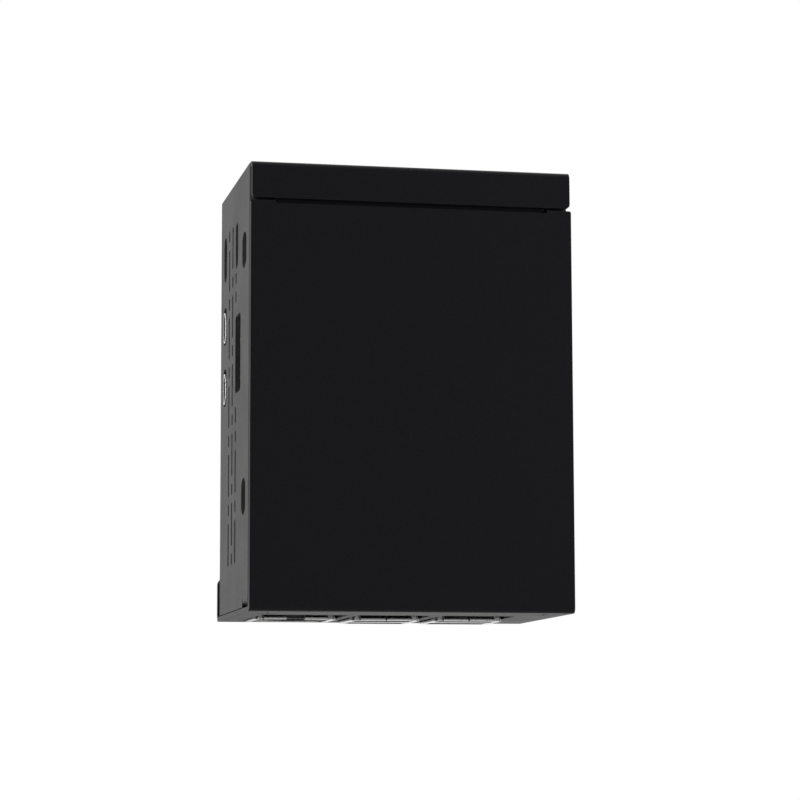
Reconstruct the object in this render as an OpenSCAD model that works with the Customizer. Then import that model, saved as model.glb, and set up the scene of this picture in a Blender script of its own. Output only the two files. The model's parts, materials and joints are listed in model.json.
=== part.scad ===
// Folded-sheet case for a single-board computer, with a spring clip for a 35 mm rail.
// The front panel's outer face is at y = 0 while building, +y to the back, z = 0 under the bottom.
// The finished part is moved so that its box is centred over the origin and stands on z = 0.

/* [Circuit board] */
// Length of the board, from the card edge at the top to the port edge at the bottom
board_l = 85; // [83:0.5:100]
// Width of the board, from the video edge on the left to the header edge
board_w = 56; // [52:0.5:70]
// Thickness of the board
board_t = 1.4; // [1.0:0.1:2.0]
// Radius of the board's corners
board_corner_r = 3; // [1:0.5:4]
// Distance of the fixing holes from the board's edges
hole_inset = 3.5; // [3.2:0.1:4]
// Spacing of the fixing holes along the board
hole_pitch_l = 58; // [56:0.5:66]
// Diameter of the fixing screws' threads
thread_d = 2.4; // [2:0.1:2.5]
// Diameter of the fixing screws' heads
screw_head_d = 4.6; // [4:0.1:5]
// Room between those heads and the deepest port
screw_room = 0.5; // [0.3:0.1:2]

/* [Case sheet] */
// Thickness of the folded sheet
sheet_t = 1.0; // [0.8:0.1:1.3]
// Outer radius of the bends between the back and the walls
bend_r = 2.0; // [1.6:0.1:3]
// Outer radius of the bends along the top
top_r = 1.6; // [1.4:0.1:2.5]
// Outer radius of the walls' front bends
flange_r = 2.4; // [1.8:0.1:3]
// Room between the front panel and the component side of the board
front_room = 39.5; // [36:0.5:60]
// Height of the standoffs between the board and the back
standoff_h = 4.8; // [4:0.1:8]
// Gap between the left wall and the board
side_gap = 2.35; // [1:0.05:4]
// Spare room between the board and the right wall
spare_room = 6.65; // [5:0.05:20]
// Room between the board's card edge and the top
top_room = 2.0; // [1.6:0.1:6]
// Height of the lip that is folded down from the top
hood_h = 7.7; // [6:0.1:12]

/* [Front cover] */
// How far the cover stands out past each wall
cover_overhang = 0.15; // [0:0.05:1]
// Clearance between the sheets of the base and the cover
seam = 0.2; // [0.1:0.05:0.5]
// Open gap between the lip and the front panel
hood_gap = 0.55; // [0.4:0.05:2]
// Width of the tongue that reaches behind the lip
tongue_w = 56; // [40:0.2:58]
// How far the tongue reaches above the front panel
tongue_h = 6.5; // [4:0.5:7]
// How far below the panel's top edge the tongue steps back
tongue_drop = 0.6; // [0.4:0.05:1]
// Outer radius of the bend between the front panel and the bottom
cover_r = 1.2; // [1.1:0.1:2]
// Outer radius of the bend between the bottom and the rear lip
lip_r = 1.7; // [1.4:0.1:2.5]
// Height of the rear lip
lip_h = 9.5; // [6:0.5:12]
// Radius of the rear lip's top corners
lip_corner_r = 1.5; // [0.5:0.1:3]
// Clearance between the rear lip and the back
lip_gap = 0.3; // [0.1:0.05:1]
// Diameter of the cover screws' heads
cover_head_d = 4.3; // [3.6:0.1:5]
// Distance of the cover screws from the walls' outer faces
cover_screw_in = 4.65; // [4:0.05:5]
// Distance of the cover screws from the front panel
cover_screw_y = 7.3; // [7:0.1:10]

/* [Wall openings] */
// Width of a vent slot
vent_w = 1.5; // [1:0.1:2.2]
// Length of the long vent slots
vent_long = 9.2; // [6:0.1:12]
// Length of the short vent slots
vent_short = 2.6; // [2.2:0.1:4]
// Sheet left between two vent slots of a column
vent_web = 1.48; // [1:0.02:3]
// Spacing of the vent columns
vent_pitch = 5.1; // [4.5:0.1:6]
// Distance from the board to the first vent column
vent_board_gap = 7.75; // [7:0.05:10]
// Distance from the top to the first vents
vent_top = 8.65; // [6:0.05:12]
// Number of times the pair of long and short slots repeats
vent_rows = 5; // [3:1:5]
// Diameter of the two antenna holes
antenna_d = 7.6; // [6:0.1:8.5]
// Width of the antenna holes across their flats
antenna_flat = 5.9; // [5:0.1:8]
// Distance of the antenna holes from the front panel
antenna_y = 10.4; // [9:0.05:12]
// Height of the lower antenna hole
antenna_low = 23.9; // [15:0.1:40]
// Spacing of the antenna holes
antenna_pitch = 51.2; // [40:0.1:53]
// Height of the empty rectangular opening
window_l = 16.4; // [10:0.1:20]
// Width of the empty rectangular opening
window_w = 7.7; // [5:0.1:9]
// Radius of that opening's corners
window_r = 1.2; // [0.2:0.1:2]
// Distance of that opening's middle from the front panel
window_y = 19.35; // [18.5:0.05:22]
// Height of that opening's middle
window_z = 54.8; // [50:0.1:58]
// Width of the spare round-ended slot
spare_slot_w = 3.5; // [2.5:0.1:4]
// Length of the spare round-ended slot
spare_slot_l = 9.8; // [8:0.1:11]
// Distance of the spare slot's middle from the front panel
spare_slot_y = 21.5; // [20:0.05:24]
// Clearance between the power port and its slot in the wall
power_gap = 0.5; // [0.45:0.05:1]
// Clearance between a video port and its slot in the wall
video_gap = 0.8; // [0.6:0.05:1]
// How far a side port's slot is moved up from the port
slot_rise = 0.35; // [0:0.05:0.4]

/* [Bottom ports] */
// How far the bottom openings reach in front of the double ports
port_front = 10.4; // [1.2:0.1:12]
// How far the double ports stand out past the underside
port_out = 0.55; // [0.1:0.05:1]
// How far the network port lies behind the double ports
eth_back = 0.25; // [0:0.05:0.5]
// How far the double ports stand out past the board's edge
port_overhang = 4.45; // [3:0.05:6]
// Clearance between a bottom port's lips and its opening
port_gap = 0.25; // [0.15:0.05:0.5]
// How far the lips of a port mouth flare
lip_flare = 0.85; // [0.5:0.05:0.9]
// Width of the network port
eth_w = 16; // [15.5:0.1:16.4]
// Height of the network port above the board
eth_h = 13.5; // [12.5:0.1:15]
// Depth of the network port
eth_d = 21.3; // [18:0.1:22]
// Width of a double port
usb_w = 13.3; // [13:0.1:14]
// Height of a double port above the board
usb_h = 15.8; // [15:0.1:17]
// Depth of a double port
usb_d = 17.6; // [16:0.1:20]
// Width of one plug opening of a double port
usb_mouth_w = 12.3; // [12:0.05:12.5]
// Height of one plug opening of a double port
usb_mouth_h = 5.3; // [5:0.05:5.8]
// Spacing of the two plug openings
usb_mouth_pitch = 8.2; // [7.5:0.1:8.6]

/* [Side ports] */
// Width of the power port
power_w = 8.95; // [8.6:0.05:9.2]
// Height of the power port
power_h = 3.2; // [3:0.05:3.4]
// Depth of the power port
power_d = 7.3; // [6.5:0.1:8.5]
// How far the power port stands out past the board's edge
power_overhang = 2.4; // [1.5:0.05:3]
// Width of a video port
video_w = 6.6; // [6:0.1:7.2]
// Height of a video port
video_h = 3.0; // [2.8:0.1:3.4]
// Depth of a video port
video_d = 7.9; // [7:0.1:9]
// How far the video ports stand out past the board's edge
video_overhang = 3.5; // [2.5:0.05:3.5]

/* [Rail clip] */
// Width of the rail that the clip fits
rail_w = 35; // [34:0.1:36]
// Thickness of the rail's flanges
rail_t = 1.0; // [0.8:0.1:1.5]
// Clearance round the rail's flanges
rail_gap = 0.3; // [0.2:0.05:0.5]
// Width of the clip's bracket
clip_w = 28; // [25:0.5:34]
// Height of the clip's bracket
clip_h = 58; // [57:0.5:64]
// Thickness of the clip's bracket
clip_t = 4; // [3.8:0.1:5]
// How far the hooks reach over the rail's flanges
hook_reach = 2.3; // [1.5:0.1:3]
// Thickness of the hooks
hook_t = 3.5; // [2.5:0.1:3.6]
// Thickness of the hooks' tips behind the rail
hook_tip = 1.6; // [1.2:0.1:3]
// How far the latch slides down to let go of the rail
latch_travel = 4; // [3:0.1:4.5]
// How far the latch's foot reaches under each side of its channel's mouth
latch_shoulder = 2; // [1.2:0.1:2.5]
// Clearance round the latch
latch_gap = 0.2; // [0.1:0.05:0.3]
// Length of the latch's pull tab below the bracket
tab_l = 5.5; // [4.5:0.1:6]
// Outer diameter of the latch's spring
spring_d = 3.0; // [2.6:0.1:3]
// Diameter of the spring's wire
wire_d = 0.45; // [0.3:0.05:0.5]
// Number of turns of the spring
spring_turns = 9; // [6:1:11]
// Diameter of the bracket screws' threads
clip_thread_d = 2.9; // [2.5:0.1:3]
// Diameter of the bracket screws' heads
clip_head_d = 5.5; // [5:0.1:5.6]

/* [Hidden] */
$fn = 48;

// Small amounts: a cut's overrun, a close fit and a drilled hole's clearance
eps = 0.5;
fit = 0.1;
drill = 0.1;

// Case sizes that follow from the board and the sheet
wall_z = sheet_t + seam;
board_z = port_overhang - port_out;
hole_pitch_w = board_w - 2 * hole_inset;
eth_on_board = eth_d + eth_back - port_overhang;
board_need = hole_inset + hole_pitch_l + screw_head_d / 2 + screw_room + eth_on_board;
card_z = board_z + max(board_l, board_need);
case_h = card_z + top_room + sheet_t;
case_w = side_gap + board_w + spare_room + 2 * sheet_t;
wall_x = case_w / 2;
inner_x = wall_x - sheet_t;
board_x = -inner_x + side_gap;
board_y = sheet_t + front_room;
board_back = board_y + board_t;
inner_back = board_back + standoff_h;
back_y = inner_back + sheet_t;
lip_y = back_y + lip_gap + sheet_t;
cover_x = wall_x + cover_overhang;
flange_y = sheet_t + seam;
hood_z = case_h - hood_h;
hood_x = wall_x - seam / 2;
hood_corner_r = 0.9;
panel_corner_r = 0.4;
panel_z = hood_z - hood_gap;
tongue_z = panel_z - tongue_drop;
tongue_gap = 0.5;
tongue_rise = 0.3;
flange_in = tongue_w / 2 + tongue_gap;

// Folded tabs at the walls' feet that take the cover screws
tab_bend = 0.5;
tab_relief = 0.25;
tab_r = sheet_t + tab_bend;
tab_rise = tab_r + tab_relief;
tab_half = 3.4;
tab_w = 7.5;
collar_wall = 0.9;
collar_h = 1.4;
thread_hole = thread_d + drill;
cover_screw_x = wall_x - cover_screw_in;

// Board places, measured down from the card edge and in from the video edge
function at_x(in) = board_x + in;
function at_z(down) = card_z - down;
hole_places = [for (d = [0, 1], i = [0, 1])
    [at_x(hole_inset + i * hole_pitch_w), at_z(hole_inset + d * hole_pitch_l)]];
hole_d = thread_d + 3 * drill;
screw_head_h = 1.7;
standoff_af = 5;
spigot_d = 4.2;
eth_in = 10.2;
usb_left_in = 29.1;
usb_right_in = 47;
power_down = 11.2;
video_upper_down = 25.8;
video_lower_down = 39.2;
card_in = 27;
button_in = 18.4;
lamp_in = 11.4;
eth_x = at_x(eth_in);
usb_left_x = at_x(usb_left_in);
usb_right_x = at_x(usb_right_in);
power_z = at_z(power_down);
video_upper_z = at_z(video_upper_down);
video_lower_z = at_z(video_lower_down);
card_x = at_x(card_in);
button_x = at_x(button_in);
lamp_x = at_x(lamp_in);
card_w = 14;
card_d = 14.5;
card_t = 1.8;
card_wall = 1.2;
card_stop = 1;
card_room = 1;
press_hole_d = 3.6;
lamp_hole_d = 2.4;
shell_t = 0.4;
thin_shell_t = 0.3;
video_chamfer = 1.35;
video_corner = 0.6;
slot_shift = 0.25;
port_corner_r = 0.6;

// Vent slots of one column as [low, high] pairs, with the long or the short slot on top
vent_start = case_h - vent_top;
vent_period = vent_long + vent_short + 2 * vent_web;
vent_y = board_y - vent_board_gap;
function vent_spans(short_first) = [for (row = [0 : vent_rows - 1], second = [0, 1])
    let (first_l = short_first ? vent_short : vent_long,
         long_now = short_first ? second == 1 : second == 0,
         high = vent_start - row * vent_period - second * (first_l + vent_web),
         low = high - (long_now ? vent_long : vent_short))
    [low, high]];
function clear_of(span, zone) =
    zone[1] <= span[0] || zone[0] >= span[1] ? span :
    zone[0] > span[0] ? [span[0], zone[0]] : [zone[1], max(span[1], zone[1])];

// Parts of the wall that the third vent column keeps clear of
power_slot_z = power_z + slot_rise;
window_under = 2.65;
window_over = 1.2;
slot_margin = 0.65;
spare_half = spare_slot_l / 2 + slot_margin;
spare_zone = [power_slot_z - spare_half, power_slot_z + spare_half];
window_zone = [window_z - window_l / 2 - window_under, window_z + window_l / 2 + window_over];

// Rail clip, measured from the rail's middle line
rail_z = case_h / 2;
clip_face = back_y + clip_t;
rail_half = rail_w / 2;
hook_face = clip_face + rail_t + rail_gap;
clip_end = hook_face + hook_tip;
clip_low = rail_z - clip_h / 2;
clip_high = rail_z + clip_h / 2;
foot_t = 1.3;
channel_d = 2.5;
channel_floor = clip_face - channel_d;
foot_y = channel_floor + latch_gap / 2;
screw_web = 0.75;
latch_w = clip_w - 4 * screw_web - 2 * clip_head_d - 2 * latch_gap;
latch_neck_w = latch_w - 2 * latch_shoulder;
channel_w = latch_w + 2 * latch_gap;
mouth_w = latch_neck_w + 2 * latch_gap;
post_drop = 8;
post_low = rail_z - post_drop;
post_h = 2;
post_w = spring_d + 2 * fit;
latch_window_w = post_w + 2 * latch_gap;
latch_window_low = post_low - fit;
spring_sink = 0.7;
spring_y = channel_floor + spring_sink;
spring_low = post_low + post_h + fit;
spring_spare = 4.2;
spring_l = spring_turns * wire_d + latch_travel + spring_spare;
latch_window_top = spring_low + spring_l + fit;
latch_bridge = 3;
latch_top = latch_window_top + latch_bridge;
latch_end_room = 1.5;
channel_top = latch_top + latch_end_room;
pocket_w = spring_d + 4 * fit;
pocket_floor = spring_y - pocket_w / 2;
clip_screw_x = channel_w / 2 + screw_web + clip_head_d / 2;
clip_screw_low = 7;
clip_screw_high = 4.5;
clip_screw_z = [clip_low + clip_screw_low, clip_high - clip_screw_high];
clip_hole = clip_thread_d + drill;
csk_h = 1.6;
clip_corner_r = 2;
tab_corner_r = 1.5;
pull_w = 5;
pull_h = 1.4;
pull_in = 1.5;

// The whole part's depth, which centres it over the origin
overall_d = max(clip_end, lip_y);

// Height of the port mouths while building
port_z = -port_out;
eth_z = port_z + eth_back;

// Moves a finished piece from the building frame to the part's own frame
module placed() {
    translate([0, -overall_d / 2, port_out]) children();
}

// Extrudes a plan (x, y) outline from z0 to z1
module rise(z0, z1) {
    translate([0, 0, z0]) linear_extrude(z1 - z0) children();
}

// Extrudes a side (y, z) outline from x0 to x1
module across(x0, x1) {
    translate([x0, 0, 0]) rotate([90, 0, 90]) linear_extrude(x1 - x0) children();
}

// Extrudes a front (x, z) outline from y0 to y1
module deep(y0, y1) {
    translate([0, y1, 0]) rotate([90, 0, 0]) linear_extrude(y1 - y0) children();
}

// Box between two opposite corners
module block(a, b) {
    translate(a) cube(b - a);
}

// Round pin along y
module pin_y(x, z, y0, y1, d) {
    translate([x, y1, z]) rotate([90, 0, 0]) cylinder(h = y1 - y0, d = d);
}

// What a round of radius r takes off the corner at p
module corner_cut(p, r, turn) {
    if (r > 0)
        translate(p) rotate(turn) difference() {
            translate([-eps, -eps]) square(r + eps);
            translate([r, r]) circle(r);
        }
}

// Rectangle from a to b with radii at low left, low right, high right and high left
module rounded(a, b, r) {
    difference() {
        translate(a) square(b - a);
        corner_cut(a, r[0], 0);
        corner_cut([b[0], a[1]], r[1], 90);
        corner_cut(b, r[2], 180);
        corner_cut([a[0], b[1]], r[3], 270);
    }
}

// Upright round-ended slot in a (y, z) outline
module slot(y, low, high, w) {
    translate([y - w / 2, low + w / 2]) square([w, high - low - w]);
    translate([y, low + w / 2]) circle(d = w);
    translate([y, high - w / 2]) circle(d = w);
}

// One column of vent slots, leaving out what is too short to cut
module vent_column(y, spans) {
    for (s = spans)
        if (s[1] - s[0] > vent_w + fit) slot(y, s[0], s[1], vent_w);
}

// Vents of the plain right wall
module right_vents() {
    for (c = [0, 1, 2])
        vent_column(vent_y - c * vent_pitch, vent_spans(c != 1));
}

// Vents, port slots and openings of the left wall
module left_openings() {
    vent_column(vent_y, vent_spans(true));
    vent_column(vent_y - vent_pitch, vent_spans(false));
    vent_column(vent_y - 2 * vent_pitch,
        [for (s = vent_spans(true)) clear_of(clear_of(s, spare_zone), window_zone)]);
    translate([window_y - window_w / 2, window_z - window_l / 2])
        rounded([0, 0], [window_w, window_l], [window_r, window_r, window_r, window_r]);
    slot(spare_slot_y, power_slot_z - spare_slot_l / 2, power_slot_z + spare_slot_l / 2, spare_slot_w);
    power_slot();
    for (z = [video_upper_z, video_lower_z]) video_slot(z + slot_rise);
}

// Round-ended slot for the power port
module power_slot() {
    w = power_h + 2 * power_gap;
    l = power_w + 2 * power_gap;
    slot(board_y - power_h / 2 + slot_shift, power_slot_z - l / 2, power_slot_z + l / 2, w);
}

// Slot with well rounded corners for one video port
module video_slot(z) {
    w = video_h + 2 * video_gap;
    l = video_w + 2 * video_gap;
    r = video_h / 2 + video_gap / 2;
    translate([board_y - video_h / 2 + slot_shift - w / 2, z - l / 2])
        rounded([0, 0], [w, l], [r, r, r, r]);
}

// Plan of the back, the walls and their folded front flanges
module base_plan() {
    t = sheet_t;
    difference() {
        rounded([-wall_x, flange_y], [wall_x, back_y], [flange_r, flange_r, bend_r, bend_r]);
        rounded([-inner_x, flange_y + t], [inner_x, inner_back],
            [flange_r - t, flange_r - t, bend_r - t, bend_r - t]);
        translate([-flange_in, 0]) square([2 * flange_in, flange_y + flange_r]);
    }
}

// Side outline of the whole base
module base_side() {
    rounded([0, wall_z], [back_y, case_h], [0, 0, top_r, top_r]);
}

// Side section of the top, the front lip and the back
module hood_side() {
    t = sheet_t;
    difference() {
        base_side();
        rounded([t, 0], [inner_back, case_h - t], [0, 0, top_r - t, top_r - t]);
        translate([-eps, 0]) square([t + 2 * eps, hood_z]);
    }
}

// The folded sheet of the base before it is pierced
module base_sheet() {
    intersection() {
        rise(wall_z, case_h) base_plan();
        across(-wall_x, wall_x) base_side();
    }
    intersection() {
        across(-hood_x, hood_x) hood_side();
        rise(wall_z, case_h) rounded([-wall_x, 0], [wall_x, back_y], [0, 0, bend_r, bend_r]);
    }
}

// Foot tab folded in from the right wall, with its tapped collar
module foot_tab() {
    t = sheet_t;
    inner = wall_x - tab_w;
    top = wall_z + tab_rise + eps;
    rotate([90, 0, 0]) translate([0, 0, -cover_screw_y - tab_half]) linear_extrude(2 * tab_half)
        difference() {
            rounded([inner, wall_z], [wall_x, top], [0, tab_r, 0, 0]);
            rounded([inner - eps, wall_z + t], [inner_x, top + eps], [0, tab_r - t, 0, 0]);
        }
    translate([cover_screw_x, cover_screw_y, wall_z])
        cylinder(h = t + collar_h, d = thread_hole + 2 * collar_wall);
}

// Gap cut in the right wall round its foot tab
module foot_relief() {
    block([inner_x - eps, cover_screw_y - tab_half - tab_relief, 0],
        [wall_x + eps, cover_screw_y + tab_half + tab_relief, wall_z + tab_rise]);
}

// Back, walls, top and front lip, folded from one sheet
module rear_base() {
    color("#1d1d1f") placed() difference() {
        union() {
            difference() {
                base_sheet();
                for (s = [0, 1]) mirror([s, 0, 0]) foot_relief();
            }
            for (s = [0, 1]) mirror([s, 0, 0]) foot_tab();
            for (x = [-1, 1], z = clip_screw_z)
                pin_y(x * clip_screw_x, z, inner_back - collar_h, back_y, clip_hole + 2 * collar_wall);
        }
        for (s = [0, 1]) mirror([s, 0, 0]) {
            translate([cover_screw_x, cover_screw_y, 0])
                cylinder(h = wall_z + sheet_t + collar_h + eps, d = thread_hole);
            deep(-eps, sheet_t + seam / 2) corner_cut([hood_x, hood_z], hood_corner_r, 90);
        }
        for (x = [-1, 1], z = clip_screw_z)
            pin_y(x * clip_screw_x, z, inner_back - collar_h - eps, back_y + eps, clip_hole);
        for (p = hole_places) pin_y(p[0], p[1], inner_back - eps, back_y + eps, spigot_d + drill);
        across(-wall_x - eps, -inner_x + eps) left_openings();
        across(inner_x - eps, wall_x + eps) right_vents();
        antenna_hole(antenna_low);
        antenna_hole(antenna_low + antenna_pitch);
        block([card_x - card_w / 2, board_back, case_h - sheet_t - eps],
            [card_x + card_w / 2, board_back + card_t + card_room, case_h + eps]);
        top_hole(button_x, press_hole_d);
        top_hole(lamp_x, lamp_hole_d);
        block([-wall_x - eps, lip_y - lip_r - seam / 2, 0],
            [wall_x + eps, back_y + eps, lip_r + seam / 2]);
    }
}

// Round hole with two upright flats through the left wall, for one antenna socket
module antenna_hole(z) {
    half = antenna_flat / 2;
    intersection() {
        translate([-wall_x - eps, antenna_y, z]) rotate([0, 90, 0])
            cylinder(h = sheet_t + 2 * eps, d = antenna_d);
        block([-wall_x - eps, antenna_y - half, z - antenna_d],
            [-inner_x + eps, antenna_y + half, z + antenna_d]);
    }
}

// Round hole through the top, over the board's component side
module top_hole(x, d) {
    translate([x, board_y - button_t / 2, case_h - sheet_t - eps]) cylinder(h = sheet_t + 2 * eps, d = d);
}

// Side section of the cover without its tongue
module cover_side() {
    t = sheet_t;
    difference() {
        rounded([0, 0], [lip_y, panel_z], [cover_r, lip_r, 0, 0]);
        rounded([t, t], [lip_y - t, panel_z + eps], [max(0, cover_r - t), lip_r - t, 0, 0]);
        translate([lip_y - t - eps, lip_h]) square([t + 2 * eps, panel_z]);
    }
}

// Side section of the tongue, stepped back by the sheet and its clearance
module tongue_side() {
    t = sheet_t;
    d = flange_y;
    top = panel_z + tongue_h;
    high = tongue_z + tongue_rise;
    k = t * tan(atan2(d, tongue_rise) / 2);
    polygon([[0, tongue_z - 2 * t], [t, tongue_z - 2 * t], [t, tongue_z - k], [t + d, high - k],
        [t + d, top], [d, top], [d, high], [0, tongue_z]]);
}

// Opening in the bottom for one port of width w
module port_opening(x, w) {
    half = w / 2 + lip_flare + port_gap;
    low = board_y - usb_h - port_front;
    high = board_y + lip_flare + port_gap;
    r = port_corner_r;
    rise(-eps, sheet_t + eps) rounded([x - half, low], [x + half, high], [r, r, r, r]);
}

// Front panel, bottom and rear lip, folded from one sheet
module front_cover() {
    half = tongue_w / 2;
    color("#1a1a1c") placed() difference() {
        union() {
            difference() {
                across(-cover_x, cover_x) cover_side();
                block([-half - tongue_gap, -eps, tongue_z],
                    [half + tongue_gap, sheet_t + eps, panel_z + eps]);
            }
            across(-half, half) tongue_side();
        }
        for (s = [0, 1]) mirror([s, 0, 0]) {
            deep(lip_y - sheet_t - eps, lip_y + eps) corner_cut([cover_x, lip_h], lip_corner_r, 180);
            deep(-eps, sheet_t + eps) corner_cut([cover_x, panel_z], panel_corner_r, 180);
            translate([cover_screw_x, cover_screw_y, -eps])
                cylinder(h = sheet_t + 2 * eps, d = thread_hole);
            translate([cover_screw_x, cover_screw_y, 0])
                cylinder(h = sheet_t, d1 = cover_head_d + 2 * drill, d2 = thread_hole);
        }
        port_opening(eth_x, eth_w);
        port_opening(usb_left_x, usb_w);
        port_opening(usb_right_x, usb_w);
    }
}

// Cross recess for a screw head, cut along +z from its face
module cross_recess(size, depth) {
    for (a = [0, 90])
        rotate(a) translate([-size / 2, -size / 10, -eps]) cube([size, size / 5, depth + eps]);
}

// Countersunk screw along +z, with its head's face at z = 0
module csk_screw(head_d, d, head_h, l) {
    difference() {
        union() {
            cylinder(h = head_h, d1 = head_d, d2 = d);
            cylinder(h = l, d = d);
        }
        cross_recess(head_d * 0.6, head_h * 0.6);
    }
}

// Two screws that hold the cover to the foot tabs
module cover_screws() {
    color("#3c3c40") placed() for (s = [-1, 1])
        translate([s * cover_screw_x, cover_screw_y, drill / 2])
            csk_screw(cover_head_d, thread_d, sheet_t - drill, sheet_t + wall_z + collar_h);
}

// Four hexagon standoffs, clinched flush into the back
module board_standoffs() {
    color("#c9c9c4") placed() for (p = hole_places) difference() {
        union() {
            translate([p[0], inner_back, p[1]]) rotate([90, 0, 0])
                cylinder(h = standoff_h, d = standoff_af / cos(30), $fn = 6);
            pin_y(p[0], p[1], board_back, back_y, spigot_d);
        }
        pin_y(p[0], p[1], board_back - eps, inner_back, thread_hole);
    }
}

// Four pan-head screws through the board into the standoffs
module board_screws() {
    head_d = screw_head_d;
    head_h = screw_head_h;
    color("#bdbdb8") placed() for (p = hole_places)
        translate([p[0], board_y - head_h, p[1]]) rotate([-90, 0, 0]) difference() {
            union() {
                cylinder(h = head_h, d = head_d);
                cylinder(h = head_h + board_t + standoff_h - eps, d = thread_d);
            }
            cross_recess(head_d * 0.6, head_h * 0.6);
        }
}

// The bare board
module circuit_board() {
    r = board_corner_r;
    color("#1f6b3a") placed() difference() {
        deep(board_y, board_back) rounded([board_x, board_z], [board_x + board_w, card_z], [r, r, r, r]);
        for (p = hole_places) pin_y(p[0], p[1], board_y - eps, board_back + eps, hole_d);
    }
}

// Flat package on the component side: middle in and down, width, length and height
module package(in, down, w, l, h) {
    x = at_x(in);
    z = at_z(down);
    block([x - w / 2, board_y - h, z - l / 2], [x + w / 2, board_y, z + l / 2]);
}

// Places and sizes of the flat packages
cpu_in = 29;
cpu_down = 30;
cpu_w = 18;
cpu_h = 1.2;
lid_w = 15;
lid_h = 2.3;
memory_gap = 2.3;
memory_w = 14.5;
memory_l = 12.4;
memory_h = 1.1;
memory_down = cpu_down + cpu_w / 2 + memory_gap + memory_l / 2;
io_gap = 1.55;
io_in = 31;
io_w = 11;
io_l = 10.5;
io_h = 1.3;
chip_down = memory_down + memory_l / 2 + io_gap + io_l / 2;
network_in = 18.6;
network_w = 6;
supply_in = 15.5;
supply_down = 15;
supply_w = 7;
chip_h = 0.9;
radio_w = 11;
radio_l = 12;
radio_h = 1.7;
radio_rim = 0.5;
radio_gap = 0.4;

// Main processor: carrier with a raised metal lid
module processor() {
    color("#b9bcc0") placed() union() {
        package(cpu_in, cpu_down, cpu_w, cpu_w, cpu_h);
        package(cpu_in, cpu_down, lid_w, lid_w, lid_h);
    }
}

// Memory package
module memory_chip() {
    color("#222222") placed() package(cpu_in, memory_down, memory_w, memory_l, memory_h);
}

// Input and output controller
module io_controller() {
    color("#262626") placed() package(io_in, chip_down, io_w, io_l, io_h);
}

// Power controller
module power_controller() {
    color("#242424") placed() package(supply_in, supply_down, supply_w, supply_w, chip_h);
}

// Network interface chip
module network_chip() {
    color("#242424") placed() package(network_in, chip_down, network_w, network_w, chip_h);
}

// Pressed metal can over the radio
module radio_can() {
    w = radio_w + 2 * radio_rim;
    l = radio_l + 2 * radio_rim;
    in = header_in - pin_pitch - 2 * radio_gap - w / 2;
    down = expansion_down + flat_w / 2 + radio_gap + l / 2;
    color("#c3c6c8") placed() union() {
        package(in, down, radio_w, radio_l, radio_h);
        package(in, down, w, l, thin_shell_t);
    }
}

// Lips of a port mouth: their length, their edge and how far they stop short of the corners
lip_l = 1.6;
lip_edge = 0.4;
lip_short = 2.4;
lip_slit = 0.35;
finger_gap = 3.9;
finger_notch = 2.2;

// Flared lip along the left side (turn 0) of a port mouth at z = 0, facing down
module mouth_lip(l) {
    f = lip_flare;
    rotate([90, 0, 0]) translate([0, 0, -l / 2]) linear_extrude(l)
        polygon([[shell_t, 0], [shell_t, lip_l], [0, lip_l], [-f, lip_edge], [-f, 0]]);
}

// Metal shell of a bottom port, open downwards, with a flared lip on each side
module port_shell(x, z, w, h, d) {
    translate([x, board_y - h / 2, z]) {
        difference() {
            translate([-w / 2, -h / 2, 0]) cube([w, h, d]);
            children();
        }
        for (s = [0, 1]) mirror([s, 0, 0]) translate([-w / 2, 0, 0]) mouth_lip(h - lip_short);
    }
}

// Lips along the front and the board side of a double port's mouth, each slit in the middle
module usb_long_lips(x) {
    l = (usb_w - lip_short - lip_slit) / 2;
    translate([x, board_y - usb_h / 2, port_z]) for (a = [90, -90], s = [-1, 1])
        rotate(a) translate([-usb_h / 2, s * (lip_slit + l) / 2, 0]) mouth_lip(l);
}

// Two spring fingers along the front of the network port's mouth
module eth_fingers() {
    l = (eth_w - lip_short - finger_gap) / 2;
    translate([eth_x, board_y - eth_h / 2, eth_z]) rotate(90) for (s = [-1, 1])
        translate([-eth_h / 2, s * (finger_gap + l) / 2, 0]) mouth_lip(l);
}

// Hollow inside the network port's shell, and the notch between its spring fingers
module eth_hollow() {
    translate([-finger_gap / 2, -eth_h / 2 - eps, -eps]) cube([finger_gap, 2 * eps, finger_notch + eps]);
    translate([-eth_w / 2 + shell_t, -eth_h / 2 + shell_t, -eps])
        cube([eth_w - 2 * shell_t, eth_h - 2 * shell_t, eth_d - shell_t + eps]);
}

// Metal shell of the network port
module ethernet_shell() {
    color("#c8cacc") placed() union() {
        port_shell(eth_x, eth_z, eth_w, eth_h, eth_d) eth_hollow();
        eth_fingers();
    }
}

// Network plug's opening: its floor, its own size and the two steps for the plug's catch
eth_insert_w = eth_w - 2 * shell_t - 2 * fit;
eth_insert_h = eth_h - 2 * shell_t - 2 * fit;
plug_floor = -eth_insert_h / 2 + 1.4;
plug_w = 11.9;
plug_h = 7;
plug_d = 13;
catch_w = 6.4;
catch_h = 1.5;
latch_slot_w = 3.3;
latch_slot_h = 1.2;

// Contact wires of the network plug: their number, spacing, thickness and slant
contact_count = 8;
contact_pitch = 1.02;
contact_w = 0.46;
contact_t = 0.3;
contact_foot = 1.8;
contact_reach = 8.5;
contact_lift = 2.2;

// Status lenses in the network port's face
lens_w = 2.6;
lens_h = 1.8;
lens_d = 3;
lens_side = 0.7;

// Holds what is drawn from the middle of the network port's mouth
module eth_place() {
    translate([eth_x, board_y - eth_h / 2, eth_z + 2 * fit]) children();
}

// Two boxes for the lenses, smaller by g all round
module lens_pair(g, d) {
    x = eth_insert_w / 2 - lens_side - lens_w;
    y = eth_insert_h / 2 - lens_side - lens_h;
    for (s = [0, 1]) mirror([s, 0, 0])
        translate([x + g, y + g, 0]) cube([lens_w - 2 * g, lens_h - 2 * g, d - g]);
}

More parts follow.
